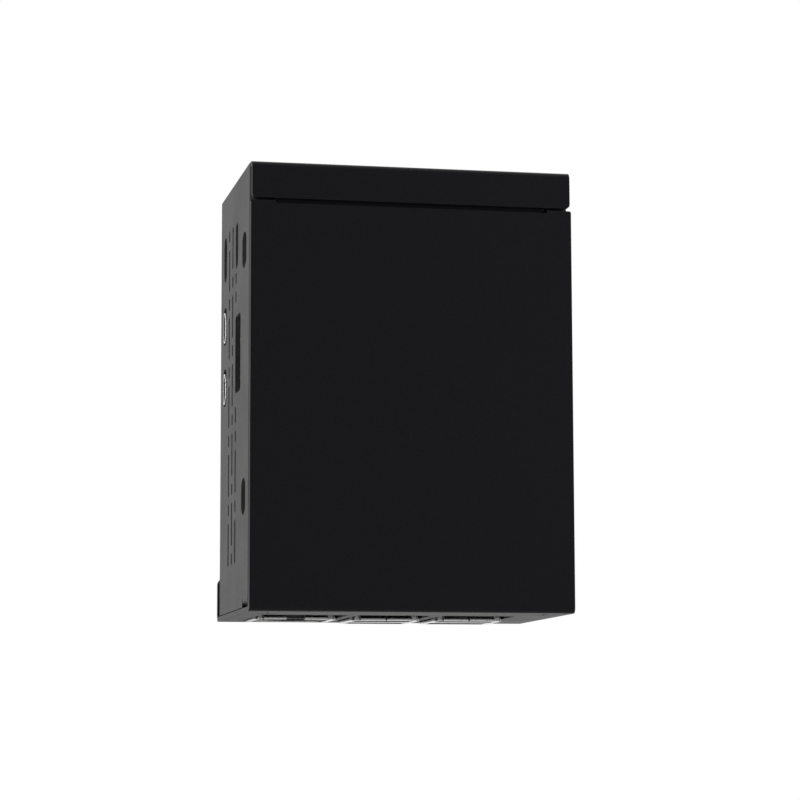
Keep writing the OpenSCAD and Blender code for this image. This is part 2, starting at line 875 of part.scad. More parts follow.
// Moulded insert of the network port, with the plug's stepped opening
module ethernet_insert() {
    w = eth_insert_w;
    h = eth_insert_h;
    step = plug_floor + plug_h;
    color("#232325") placed() eth_place() difference() {
        translate([-w / 2, -h / 2, 0]) cube([w, h, eth_d - shell_t - 3 * fit]);
        translate([-plug_w / 2, plug_floor, -eps]) cube([plug_w, plug_h, plug_d + eps]);
        translate([-catch_w / 2, step - fit, -eps]) cube([catch_w, catch_h + fit, plug_d + eps]);
        translate([-latch_slot_w / 2, step + catch_h - fit, -eps])
            cube([latch_slot_w, latch_slot_h + fit, plug_d + eps]);
        translate([0, 0, -eps]) lens_pair(0, lens_d + eps);
    }
}

// Side section of one contact wire, from its foot on the insert's wall to its raised tip
module contact_side() {
    t = contact_t;
    y = plug_floor;
    foot = 2 * contact_foot;
    tip = foot + contact_reach - contact_t;
    polygon([[y, contact_foot], [y + t, contact_foot], [y + t, foot], [y + contact_lift + t, tip],
        [y + contact_lift, tip + t], [y, foot + t]]);
}

// Eight spring wires that touch the network plug
module ethernet_contacts() {
    color("#c9a44c") placed() eth_place() for (i = [0 : contact_count - 1]) {
        x = (i - (contact_count - 1) / 2) * contact_pitch;
        across(x - contact_w / 2, x + contact_w / 2) contact_side();
    }
}

// Two status lenses beside the plug's catch
module ethernet_lamps() {
    color("#d9d6a8") placed() eth_place() lens_pair(fit / 2, lens_d);
}

// The two plug openings of a double port
module usb_hollows() {
    for (s = [-1, 1])
        translate([-usb_mouth_w / 2, s * usb_mouth_pitch / 2 - usb_mouth_h / 2, -eps])
            cube([usb_mouth_w, usb_mouth_h, usb_d - shell_t + eps]);
}

// Metal shell of a double port
module usb_shell(x) {
    union() {
        port_shell(x, port_z, usb_w, usb_h, usb_d) usb_hollows();
        usb_long_lips(x);
    }
}

// Tongues of a double port: their block, thickness, places and contact strips
usb_block_d = 3;
usb_tongue_t = 1.9;
usb_tongue_y = 0.2;
usb_tongue_side = 0.6;
usb_tongue_in = 2.2;
strip_w = 1;
strip_t = 0.12;
strip_l = 7.4;
strip_tip = 0.6;
strip_near = 1;
strip_far = 3.5;

// Holds what is drawn from the back of both plug openings of a double port
module usb_places(x) {
    translate([x, board_y - usb_h / 2, port_z + usb_d - shell_t - fit]) for (s = [-1, 1])
        translate([0, s * usb_mouth_pitch / 2, 0]) children();
}

// Moulded tongues of a double port, one in each plug opening
module usb_insert(x) {
    l = usb_d - shell_t - usb_tongue_in;
    w = usb_mouth_w - 2 * usb_tongue_side;
    usb_places(x) union() {
        translate([-usb_mouth_w / 2 + fit, -usb_mouth_h / 2 + fit, -usb_block_d])
            cube([usb_mouth_w - 2 * fit, usb_mouth_h - 2 * fit, usb_block_d]);
        translate([-w / 2, usb_tongue_y, -l]) cube([w, usb_tongue_t, l]);
    }
}

// Four contact strips on each tongue of a double port
module usb_contacts(x) {
    low = usb_d - shell_t - usb_tongue_in - strip_tip;
    usb_places(x) for (c = [-strip_far, -strip_near, strip_near, strip_far])
        translate([c - strip_w / 2, usb_tongue_y - strip_t, -low]) cube([strip_w, strip_t, strip_l]);
}

// Left double port
module usb_left_shell() {
    color("#c8cacc") placed() usb_shell(usb_left_x);
}

// Tongues of the left double port
module usb_left_insert() {
    color("#2a62b8") placed() usb_insert(usb_left_x);
}

// Contact strips of the left double port
module usb_left_contacts() {
    color("#c9a44c") placed() usb_contacts(usb_left_x);
}

// Right double port
module usb_right_shell() {
    color("#c8cacc") placed() usb_shell(usb_right_x);
}

// Tongues of the right double port
module usb_right_insert() {
    color("#2b2b2b") placed() usb_insert(usb_right_x);
}

// Contact strips of the right double port
module usb_right_contacts() {
    color("#c9a44c") placed() usb_contacts(usb_right_x);
}

// Tongues of the side ports: their blocks, how far they stop short of the mouth and their sizes
side_block_d = 2;
power_tongue_in = 0.8;
power_tongue_w = 6.7;
power_tongue_t = 0.7;
video_tongue_in = 0.9;
video_tongue_w = 4.2;
video_tongue_t = 0.6;

// Round-ended outline of the power port, smaller by g all round
module power_outline(g) {
    slot(board_y - power_h / 2, power_z - power_w / 2 + g, power_z + power_w / 2 - g, power_h - 2 * g);
}

// Drawn metal shell of the power port
module power_port_shell() {
    x0 = board_x - power_overhang;
    color("#c4c6c8") placed() difference() {
        across(x0, x0 + power_d) power_outline(0);
        across(x0 - eps, x0 + power_d - thin_shell_t) power_outline(thin_shell_t);
    }
}

// Tongue of the power port on its moulded block
module power_port_tongue() {
    x0 = board_x - power_overhang;
    x1 = x0 + power_d - thin_shell_t - fit;
    y = board_y - power_h / 2;
    color("#202020") placed() union() {
        across(x1 - side_block_d, x1) power_outline(thin_shell_t + fit);
        block([x0 + power_tongue_in, y - power_tongue_t / 2, power_z - power_tongue_w / 2],
            [x1, y + power_tongue_t / 2, power_z + power_tongue_w / 2]);
    }
}

// Outline of a video port with cut corners, smaller by g all round
module video_outline(z, g) {
    half = video_w / 2 - g;
    near = board_y - g;
    far = board_y - video_h + g;
    c = video_chamfer;
    r = video_corner;
    polygon([[far + c, z - half], [near - r, z - half], [near, z - half + r], [near, z + half - r],
        [near - r, z + half], [far + c, z + half], [far, z + half - c], [far, z - half + c]]);
}

// Drawn metal shell of a video port
module video_shell(z) {
    x0 = board_x - video_overhang;
    difference() {
        across(x0, x0 + video_d) video_outline(z, 0);
        across(x0 - eps, x0 + video_d - thin_shell_t) video_outline(z, thin_shell_t);
    }
}

// Tongue of a video port on its moulded block
module video_tongue(z) {
    x0 = board_x - video_overhang;
    x1 = x0 + video_d - thin_shell_t - fit;
    y = board_y - video_h / 2;
    across(x1 - side_block_d, x1) video_outline(z, thin_shell_t + fit);
    block([x0 + video_tongue_in, y - video_tongue_t / 2, z - video_tongue_w / 2],
        [x1, y + video_tongue_t / 2, z + video_tongue_w / 2]);
}

// Upper video port
module video_upper_shell() {
    color("#c4c6c8") placed() video_shell(video_upper_z);
}

// Tongue of the upper video port
module video_upper_tongue() {
    color("#202020") placed() video_tongue(video_upper_z);
}

// Lower video port
module video_lower_shell() {
    color("#c4c6c8") placed() video_shell(video_lower_z);
}

// Tongue of the lower video port
module video_lower_tongue() {
    color("#202020") placed() video_tongue(video_lower_z);
}

// Pin header sizes and the middles of its pins
pin_pitch = 2.54;
pin_w = 0.64;
pin_l = 8.5;
header_h = 2.5;
header_rows = 20;
header_in = hole_inset + hole_pitch_w;
header_x = at_x(header_in);
header_z = at_z(hole_inset + hole_pitch_l / 2);
aux_in = 8.5;
aux_x = at_x(aux_in);
aux_z = at_z(chip_down);
function pin_grid(x, z, rows) = [for (i = [0 : rows - 1], s = [-0.5, 0.5])
    [x + s * pin_pitch, z + (i - (rows - 1) / 2) * pin_pitch]];

// Moulded base of a two-row header, pierced for its pins
module pin_base(x, z, rows) {
    difference() {
        block([x - pin_pitch, board_y - header_h, z - rows * pin_pitch / 2],
            [x + pin_pitch, board_y, z + rows * pin_pitch / 2]);
        for (p = pin_grid(x, z, rows)) square_pin(p, pin_w + 2 * fit, header_h + eps, eps);
    }
}

// Square pin that stands h out of the board, sunk into it by s
module square_pin(p, w, h, s) {
    block([p[0] - w / 2, board_y - h, p[1] - w / 2], [p[0] + w / 2, board_y + s, p[1] + w / 2]);
}

// Base of the main pin header
module header_base() {
    color("#1c1c1c") placed() pin_base(header_x, header_z, header_rows);
}

// Base of the small header beside the network port
module aux_header_base() {
    color("#1c1c1c") placed() pin_base(aux_x, aux_z, 2);
}

// Pins of both headers
module header_pins() {
    color("#c9a44c") placed() {
        for (p = pin_grid(header_x, header_z, header_rows)) square_pin(p, pin_w, pin_l, 0);
        for (p = pin_grid(aux_x, aux_z, 2)) square_pin(p, pin_w, pin_l, 0);
    }
}

// Wire sockets: places, sizes, walls and pins
socket_wall = 0.6;
socket_floor = 1;
socket_pin_w = 0.4;
socket_pin_in = 0.8;
fan_w = 4.2;
fan_l = 6;
fan_gap = 2.9;
fan_in = header_in - pin_pitch - fan_gap - fan_w / 2;
edge_in = 2.6;
edge_w = 3.6;
debug_down = 32.5;
debug_l = 5;
clock_down = 18.8;
clock_l = 4;

// Small wire socket: open box with a row of pins, opening away from the board
module wire_socket(in, down, w, l, pins) {
    x = at_x(in);
    z = at_z(down);
    low = z - l / 2 + socket_wall;
    high = z + l / 2 - socket_wall;
    half = socket_pin_w / 2;
    difference() {
        package(in, down, w, l, w);
        block([x - w / 2 + socket_wall, board_y - w - eps, low],
            [x + w / 2 - socket_wall, board_y - socket_floor, high]);
    }
    for (i = [1 : pins]) {
        pin_z = low + i * (high - low) / (pins + 1);
        block([x - half, board_y - w + socket_pin_in, pin_z - half],
            [x + half, board_y - socket_floor + fit, pin_z + half]);
    }
}

// Fan socket
module fan_socket() {
    color("#e6e2d6") placed() wire_socket(fan_in, chip_down, fan_w, fan_l, 4);
}

// Debug socket between the video ports
module debug_socket() {
    color("#e6e2d6") placed() wire_socket(edge_in, debug_down, edge_w, debug_l, 3);
}

// Clock battery socket beside the power port
module clock_socket() {
    color("#e6e2d6") placed() wire_socket(edge_in, clock_down, edge_w, clock_l, 2);
}

// Flat-cable socket sizes: its body, its latch and how far that lifts
flat_w = 3.2;
flat_h = 4.2;
flat_leg = 0.8;
flat_lift = 1.0;
flat_leg_in = 1.6;
flat_leg_d = flat_lift + flat_leg_in;
latch_bar_t = 0.9;
latch_bar_w = 1.2;
slit_short = 2;
slit_floor = 1;
slit_z = -0.9;
slit_w = 0.4;

// Upright flat-cable socket with a cable slit and a groove for the latch's leg at each end
module flat_socket(in, down, l) {
    translate([at_x(in), board_y, at_z(down)]) difference() {
        block([-l / 2, -flat_h, -flat_w / 2], [l / 2, 0, flat_w / 2]);
        block([-l / 2 + slit_short, -flat_h - eps, slit_z],
            [l / 2 - slit_short, -slit_floor, slit_z + slit_w]);
        for (s = [0, 1]) mirror([s, 0, 0])
            block([l / 2 - flat_leg - 2 * fit, -flat_h - eps, -fit],
                [l / 2 + eps, -flat_h + flat_leg_d + fit, latch_bar_w + fit]);
    }
}

// Latch bar of a flat-cable socket, with a leg at each end
module flat_latch(in, down, l) {
    top = -flat_h - fit;
    translate([at_x(in), board_y, at_z(down)]) {
        block([-l / 2, top - latch_bar_t, 0], [l / 2, top, latch_bar_w]);
        for (s = [0, 1]) mirror([s, 0, 0])
            block([l / 2 - flat_leg, top - fit, 0], [l / 2, -flat_h + flat_leg_d, latch_bar_w]);
    }
}

// Places and lengths of the flat-cable sockets
camera_in = 10.5;
camera_gap = 2.5;
camera_step = 3.2;
camera_upper_down = video_lower_down + video_w / 2 + camera_gap + flat_w / 2;
camera_lower_down = camera_upper_down + flat_w + camera_step;
camera_l = 16;
expansion_in = 30;
expansion_down = 5;
expansion_l = 13;

// Upper camera and display socket
module camera_upper_socket() {
    color("#26262a") placed() flat_socket(camera_in, camera_upper_down, camera_l);
}

// Latch of the upper camera and display socket
module camera_upper_latch() {
    color("#e9e5da") placed() flat_latch(camera_in, camera_upper_down, camera_l);
}

// Lower camera and display socket
module camera_lower_socket() {
    color("#26262a") placed() flat_socket(camera_in, camera_lower_down, camera_l);
}

// Latch of the lower camera and display socket
module camera_lower_latch() {
    color("#e9e5da") placed() flat_latch(camera_in, camera_lower_down, camera_l);
}

// Expansion socket at the card edge
module expansion_socket() {
    color("#26262a") placed() flat_socket(expansion_in, expansion_down, expansion_l);
}

// Latch of the expansion socket
module expansion_latch() {
    color("#e9e5da") placed() flat_latch(expansion_in, expansion_down, expansion_l);
}

// Memory-card slot under the board, open towards the top
module card_slot() {
    x0 = card_x - card_w / 2;
    color("#c3c6c8") placed() difference() {
        block([x0, board_back, card_z - card_d], [x0 + card_w, board_back + card_t, card_z]);
        block([x0 + card_wall, board_back + thin_shell_t, card_z - card_d + card_stop],
            [x0 + card_w - card_wall, board_back + card_t - thin_shell_t, card_z + eps]);
    }
}

// Power button sizes: its body, its plunger and its travel
button_w = 6;
button_l = 3.6;
button_t = 2.2;
plunger_w = 2.8;
plunger_t = 1.2;
plunger_out = 1.2;
plunger_in = 1.8;
button_travel = 0.25;

// Body of the power button, with the plunger's guide
module button_body() {
    color("#d5d5d0") placed() difference() {
        block([button_x - button_w / 2, board_y - button_t, card_z - button_l],
            [button_x + button_w / 2, board_y, card_z]);
        block([button_x - plunger_w / 2 - fit, board_y - button_t / 2 - plunger_t / 2 - fit,
                card_z - plunger_in - button_travel - fit],
            [button_x + plunger_w / 2 + fit, board_y - button_t / 2 + plunger_t / 2 + fit, card_z + eps]);
    }
}

// Plunger of the power button
module button_plunger() {
    color("#e8e6df") placed()
        block([button_x - plunger_w / 2, board_y - button_t / 2 - plunger_t / 2, card_z - plunger_in],
            [button_x + plunger_w / 2, board_y - button_t / 2 + plunger_t / 2, card_z + plunger_out]);
}

// Status lamp and the small parts round the power controller and the processor
lamp_w = 1.6;
lamp_t = 1.4;
lamp_l = 2.4;
coil_w = 4;
coil_h = 2;
coil_gap = 1.5;
capacitor_l = 1.6;
capacitor_w = 0.8;
capacitor_gap = 0.4;
capacitor_pitch = 2.6;

// Status lamp under its hole in the top
module status_lamp() {
    color("#dfe8cf") placed()
        block([lamp_x - lamp_w / 2, board_y - lamp_t, card_z - lamp_l],
            [lamp_x + lamp_w / 2, board_y, card_z]);
}

// Power inductors on three sides of the power controller
module inductors() {
    step = supply_w / 2 + coil_gap + coil_w / 2;
    color("#55504a") placed() for (p = [[-step, 0], [step, 0], [0, step], [-step, step]])
        package(supply_in + p[0], supply_down + p[1], coil_w, coil_w, coil_h);
}

// Capacitors in a row on each side of the processor
module capacitors() {
    step = cpu_w / 2 + capacitor_gap + capacitor_l / 2;
    color("#b08d62") placed() for (i = [-3 : 3], s = [-1, 1])
        package(cpu_in + s * step, cpu_down + i * capacitor_pitch, capacitor_l, capacitor_w, capacitor_w);
}

// Side section of the bracket with its fixed upper hook
module bracket_side() {
    hook_low = rail_z + rail_half + rail_gap;
    lead = hook_tip / 2;
    polygon([[back_y, clip_low], [clip_face, clip_low], [clip_face, hook_low], [hook_face, hook_low],
        [hook_face, hook_low - hook_reach + lead], [hook_face + lead, hook_low - hook_reach],
        [clip_end, hook_low - hook_reach], [clip_end, hook_low + hook_t - lead],
        [clip_end - lead, hook_low + hook_t], [clip_face, hook_low + hook_t], [clip_face, clip_high],
        [back_y, clip_high]]);
}

// Moulded bracket: hook above, undercut channel for the latch below
module rail_bracket() {
    half = clip_w / 2;
    r = clip_corner_r;
    neck_y = foot_y + foot_t + latch_gap / 2;
    color("#1f1f21") placed() union() {
        difference() {
            intersection() {
                across(-half, half) bracket_side();
                deep(0, clip_end + eps) rounded([-half, clip_low], [half, clip_high], [r, r, r, r]);
            }
            block([-channel_w / 2, channel_floor, clip_low - eps], [channel_w / 2, neck_y, channel_top]);
            block([-mouth_w / 2, channel_floor, clip_low - eps], [mouth_w / 2, clip_face + eps, channel_top]);
            block([-pocket_w / 2, pocket_floor, spring_low],
                [pocket_w / 2, channel_floor + eps, latch_window_top + fit]);
            for (x = [-1, 1], z = clip_screw_z) {
                pin_y(x * clip_screw_x, z, back_y - eps, clip_face + eps, clip_hole);
                pin_y(x * clip_screw_x, z, clip_face - drill, clip_face + eps, clip_head_d + 2 * drill);
                translate([x * clip_screw_x, clip_face - drill, z]) rotate([90, 0, 0])
                    cylinder(h = csk_h, d1 = clip_head_d + 2 * drill, d2 = clip_thread_d + 2 * drill);
            }
        }
        block([-post_w / 2, channel_floor - fit, post_low],
            [post_w / 2, clip_face - latch_gap, post_low + post_h]);
    }
}

// Side section of the latch's hook
module latch_hook_side() {
    hook_high = rail_z - rail_half - rail_gap;
    lead = hook_tip / 2;
    face = clip_face + latch_gap;
    polygon([[face, hook_high - hook_t], [clip_end - lead, hook_high - hook_t],
        [clip_end, hook_high - hook_t + lead], [clip_end, hook_high + hook_reach - lead],
        [clip_end - lead, hook_high + hook_reach], [hook_face, hook_high + hook_reach],
        [hook_face, hook_high], [face, hook_high]]);
}

// Sliding latch with its hook and pull tab
module rail_latch() {
    half = latch_w / 2;
    neck = latch_neck_w / 2;
    low = clip_low - tab_l;
    foot_back = foot_y + foot_t;
    r = tab_corner_r;
    color("#2a2a2d") placed() difference() {
        union() {
            block([-half, foot_y, low], [half, foot_back, latch_top]);
            block([-neck, foot_back - fit, low], [neck, clip_face - latch_gap, latch_top]);
            block([-neck, clip_face - latch_gap - fit, rail_z - rail_half - rail_gap - hook_t],
                [neck, clip_face + latch_gap + fit, rail_z - rail_half - rail_gap]);
            across(-half, half) latch_hook_side();
        }
        block([-latch_window_w / 2, foot_y - eps, latch_window_low],
            [latch_window_w / 2, clip_face, latch_window_top]);
        block([-pull_w / 2, foot_y - eps, low + pull_in],
            [pull_w / 2, clip_face, low + pull_in + pull_h]);
        for (s = [0, 1]) mirror([s, 0, 0]) deep(foot_y - eps, clip_face) corner_cut([-half, low], r, 0);
    }
}

// Middle line of the spring, turning about an upright axis
function coil_point(a, l, r, turns) =
    [r * cos(a), r * sin(a), wire_d / 2 + (l - wire_d) * a / (360 * turns)];

// Ring of wire round one point of the middle line
function wire_ring(a, l, r, turns, sides) = [for (k = [0 : sides - 1])
    let (b = 360 * k / sides, p = coil_point(a, l, r, turns))
    p + wire_d / 2 * [cos(a) * cos(b), sin(a) * cos(b), sin(b)]];

// Coil spring between the bracket's post and the latch's window
module latch_spring() {
    sides = 8;
    steps = 14 * spring_turns;
    r = (spring_d - wire_d) / 2;
    rings = [for (i = [0 : steps])
        each wire_ring(360 * spring_turns * i / steps, spring_l, r, spring_turns, sides)];
    quads = [for (i = [0 : steps - 1], k = [0 : sides - 1])
        let (n = (k + 1) % sides)
        [i * sides + k, i * sides + n, (i + 1) * sides + n, (i + 1) * sides + k]];
    caps = [[for (k = [sides - 1 : -1 : 0]) k], [for (k = [0 : sides - 1]) steps * sides + k]];
    color("#b4b6b8") placed() translate([0, spring_y, spring_low])
        polyhedron(rings, concat(quads, caps));
}

// Four countersunk screws that hold the bracket to the back
module bracket_screws() {
    l = clip_t + sheet_t + collar_h - drill;
    color("#8f9194") placed() for (x = [-1, 1], z = clip_screw_z)
        translate([x * clip_screw_x, clip_face - drill, z]) rotate([90, 0, 0])
            csk_screw(clip_head_d, clip_thread_d, csk_h, l);
}

rear_base();
front_cover();
cover_screws();
board_standoffs();
board_screws();
circuit_board();
processor();
memory_chip();
io_controller();
power_controller();
network_chip();
radio_can();
ethernet_shell();
ethernet_insert();
ethernet_contacts();
ethernet_lamps();
usb_left_shell();
usb_left_insert();
usb_left_contacts();
usb_right_shell();
usb_right_insert();
usb_right_contacts();
power_port_shell();
power_port_tongue();
video_upper_shell();
video_upper_tongue();
video_lower_shell();
video_lower_tongue();
header_base();
header_pins();
aux_header_base();
fan_socket();
debug_socket();
clock_socket();
camera_upper_socket();
camera_upper_latch();
camera_lower_socket();
camera_lower_latch();
expansion_socket();
expansion_latch();
card_slot();
button_body();
button_plunger();
status_lamp();
inductors();
capacitors();
rail_bracket();
rail_latch();
latch_spring();
bracket_screws();
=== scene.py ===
"""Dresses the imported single-board computer case and sets it in a plain white studio.

The CAD nodes keep their shapes and get procedural finishes. The spring fingers in the double
ports are made here, because they are thin trim, and so is the latch's spring, because it gives way
as the latch slides. The camera stands where the photograph was taken.
"""

from __future__ import annotations

import json
import logging
import math
from abc import ABC, abstractmethod
from dataclasses import dataclass, field
from enum import Enum
from pathlib import Path
from typing import ClassVar, Union

import bmesh
import bpy
from mathutils import Matrix, Vector
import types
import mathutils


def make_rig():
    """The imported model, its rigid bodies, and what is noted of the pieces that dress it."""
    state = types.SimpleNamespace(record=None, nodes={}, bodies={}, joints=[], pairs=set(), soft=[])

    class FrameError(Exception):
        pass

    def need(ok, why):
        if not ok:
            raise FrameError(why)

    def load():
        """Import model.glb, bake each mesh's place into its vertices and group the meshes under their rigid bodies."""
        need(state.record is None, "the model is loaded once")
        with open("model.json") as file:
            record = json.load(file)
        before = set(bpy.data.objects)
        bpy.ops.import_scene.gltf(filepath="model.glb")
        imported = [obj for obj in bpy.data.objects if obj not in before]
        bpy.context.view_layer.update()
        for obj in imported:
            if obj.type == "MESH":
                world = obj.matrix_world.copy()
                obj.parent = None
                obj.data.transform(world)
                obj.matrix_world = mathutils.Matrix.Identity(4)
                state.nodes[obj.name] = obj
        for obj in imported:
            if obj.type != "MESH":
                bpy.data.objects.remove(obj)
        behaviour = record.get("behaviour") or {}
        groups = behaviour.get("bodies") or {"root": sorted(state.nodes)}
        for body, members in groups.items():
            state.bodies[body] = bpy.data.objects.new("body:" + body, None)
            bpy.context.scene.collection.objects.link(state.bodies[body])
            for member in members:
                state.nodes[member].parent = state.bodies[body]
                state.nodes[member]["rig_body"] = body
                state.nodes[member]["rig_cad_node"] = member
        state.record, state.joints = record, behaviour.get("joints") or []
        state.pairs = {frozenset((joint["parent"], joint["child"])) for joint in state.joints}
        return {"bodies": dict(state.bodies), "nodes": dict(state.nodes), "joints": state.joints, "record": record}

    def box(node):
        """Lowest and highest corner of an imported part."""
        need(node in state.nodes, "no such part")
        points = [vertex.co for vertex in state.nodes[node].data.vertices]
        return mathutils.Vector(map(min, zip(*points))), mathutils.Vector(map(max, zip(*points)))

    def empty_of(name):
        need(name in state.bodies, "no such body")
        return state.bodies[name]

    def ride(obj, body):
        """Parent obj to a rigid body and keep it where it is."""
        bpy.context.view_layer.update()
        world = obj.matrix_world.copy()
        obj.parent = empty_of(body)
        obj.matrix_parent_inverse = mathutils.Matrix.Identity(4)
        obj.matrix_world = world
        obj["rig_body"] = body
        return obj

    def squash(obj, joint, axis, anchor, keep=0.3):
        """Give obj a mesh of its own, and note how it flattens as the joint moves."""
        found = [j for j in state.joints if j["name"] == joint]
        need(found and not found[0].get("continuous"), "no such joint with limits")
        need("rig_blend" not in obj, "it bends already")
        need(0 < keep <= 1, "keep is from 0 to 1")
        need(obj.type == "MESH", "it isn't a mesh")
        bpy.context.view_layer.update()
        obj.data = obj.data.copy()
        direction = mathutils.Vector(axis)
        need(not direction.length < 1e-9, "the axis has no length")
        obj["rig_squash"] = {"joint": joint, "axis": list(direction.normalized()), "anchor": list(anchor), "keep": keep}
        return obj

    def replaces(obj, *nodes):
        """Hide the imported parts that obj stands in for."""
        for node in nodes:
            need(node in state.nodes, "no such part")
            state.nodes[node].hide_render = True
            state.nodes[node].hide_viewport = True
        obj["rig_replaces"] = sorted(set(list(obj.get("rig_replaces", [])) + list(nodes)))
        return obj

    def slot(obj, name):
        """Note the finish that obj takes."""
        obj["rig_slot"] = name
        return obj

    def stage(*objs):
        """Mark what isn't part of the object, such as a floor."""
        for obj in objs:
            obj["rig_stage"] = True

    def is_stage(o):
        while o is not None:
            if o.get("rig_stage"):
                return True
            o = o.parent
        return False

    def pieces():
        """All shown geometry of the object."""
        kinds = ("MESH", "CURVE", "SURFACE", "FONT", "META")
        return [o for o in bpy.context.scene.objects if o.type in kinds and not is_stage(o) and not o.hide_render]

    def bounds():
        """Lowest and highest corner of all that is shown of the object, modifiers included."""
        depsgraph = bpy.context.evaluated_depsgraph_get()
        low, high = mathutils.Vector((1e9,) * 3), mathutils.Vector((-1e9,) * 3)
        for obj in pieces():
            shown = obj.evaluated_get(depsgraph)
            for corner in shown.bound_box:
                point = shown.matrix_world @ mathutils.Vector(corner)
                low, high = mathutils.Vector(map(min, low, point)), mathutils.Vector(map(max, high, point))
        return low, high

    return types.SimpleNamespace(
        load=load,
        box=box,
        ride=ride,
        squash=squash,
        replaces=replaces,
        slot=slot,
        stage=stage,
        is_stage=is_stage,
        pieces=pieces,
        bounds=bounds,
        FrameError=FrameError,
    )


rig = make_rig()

LOG = logging.getLogger("scene")

# A millimetre in metres, the photograph's width in pixels and the sensor's width in millimetres
MM = 0.001
IMAGE_SIZE = 800
SENSOR_WIDTH = 36.0
WHITE = (1.0, 1.0, 1.0, 1.0)
SIZE_FILE = Path("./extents.json")

Colour = tuple[float, float, float]
Point = tuple[float, float, float]
Span = tuple[float, float]
Socket = bpy.types.NodeSocket
Sockets = dict[str, Socket]
Value = Union[float, Socket]
Ring = list[bmesh.types.BMVert]


class Body(str, Enum):
    """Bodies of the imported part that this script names."""

    CASE = "case"


class Joint(str, Enum):
    """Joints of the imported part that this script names."""

    LATCH_SLIDE = "rail_latch_slide"


class Slot(str, Enum):
    """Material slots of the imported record."""

    CASE_COAT = "case_coat"
    BLACK_SCREW = "black_screw"
    PLATED_STEEL = "plated_steel"
    BOARD_MASK = "board_mask"
    CHIP_BODY = "chip_body"
    LID_METAL = "lid_metal"
    PORT_STEEL = "port_steel"
    INSERT_BLACK = "insert_black"
    INSERT_BLUE = "insert_blue"
    PIN_GOLD = "pin_gold"
    IVORY_PLASTIC = "ivory_plastic"
    LAMP_LENS = "lamp_lens"
    FERRITE = "ferrite"
    CERAMIC = "ceramic"
    CLIP_NYLON = "clip_nylon"
    SPRING_STEEL = "spring_steel"


class Kind(str, Enum):
    """Socket types of the shared effects."""

    VALUE = "NodeSocketFloat"
    VECTOR = "NodeSocketVector"


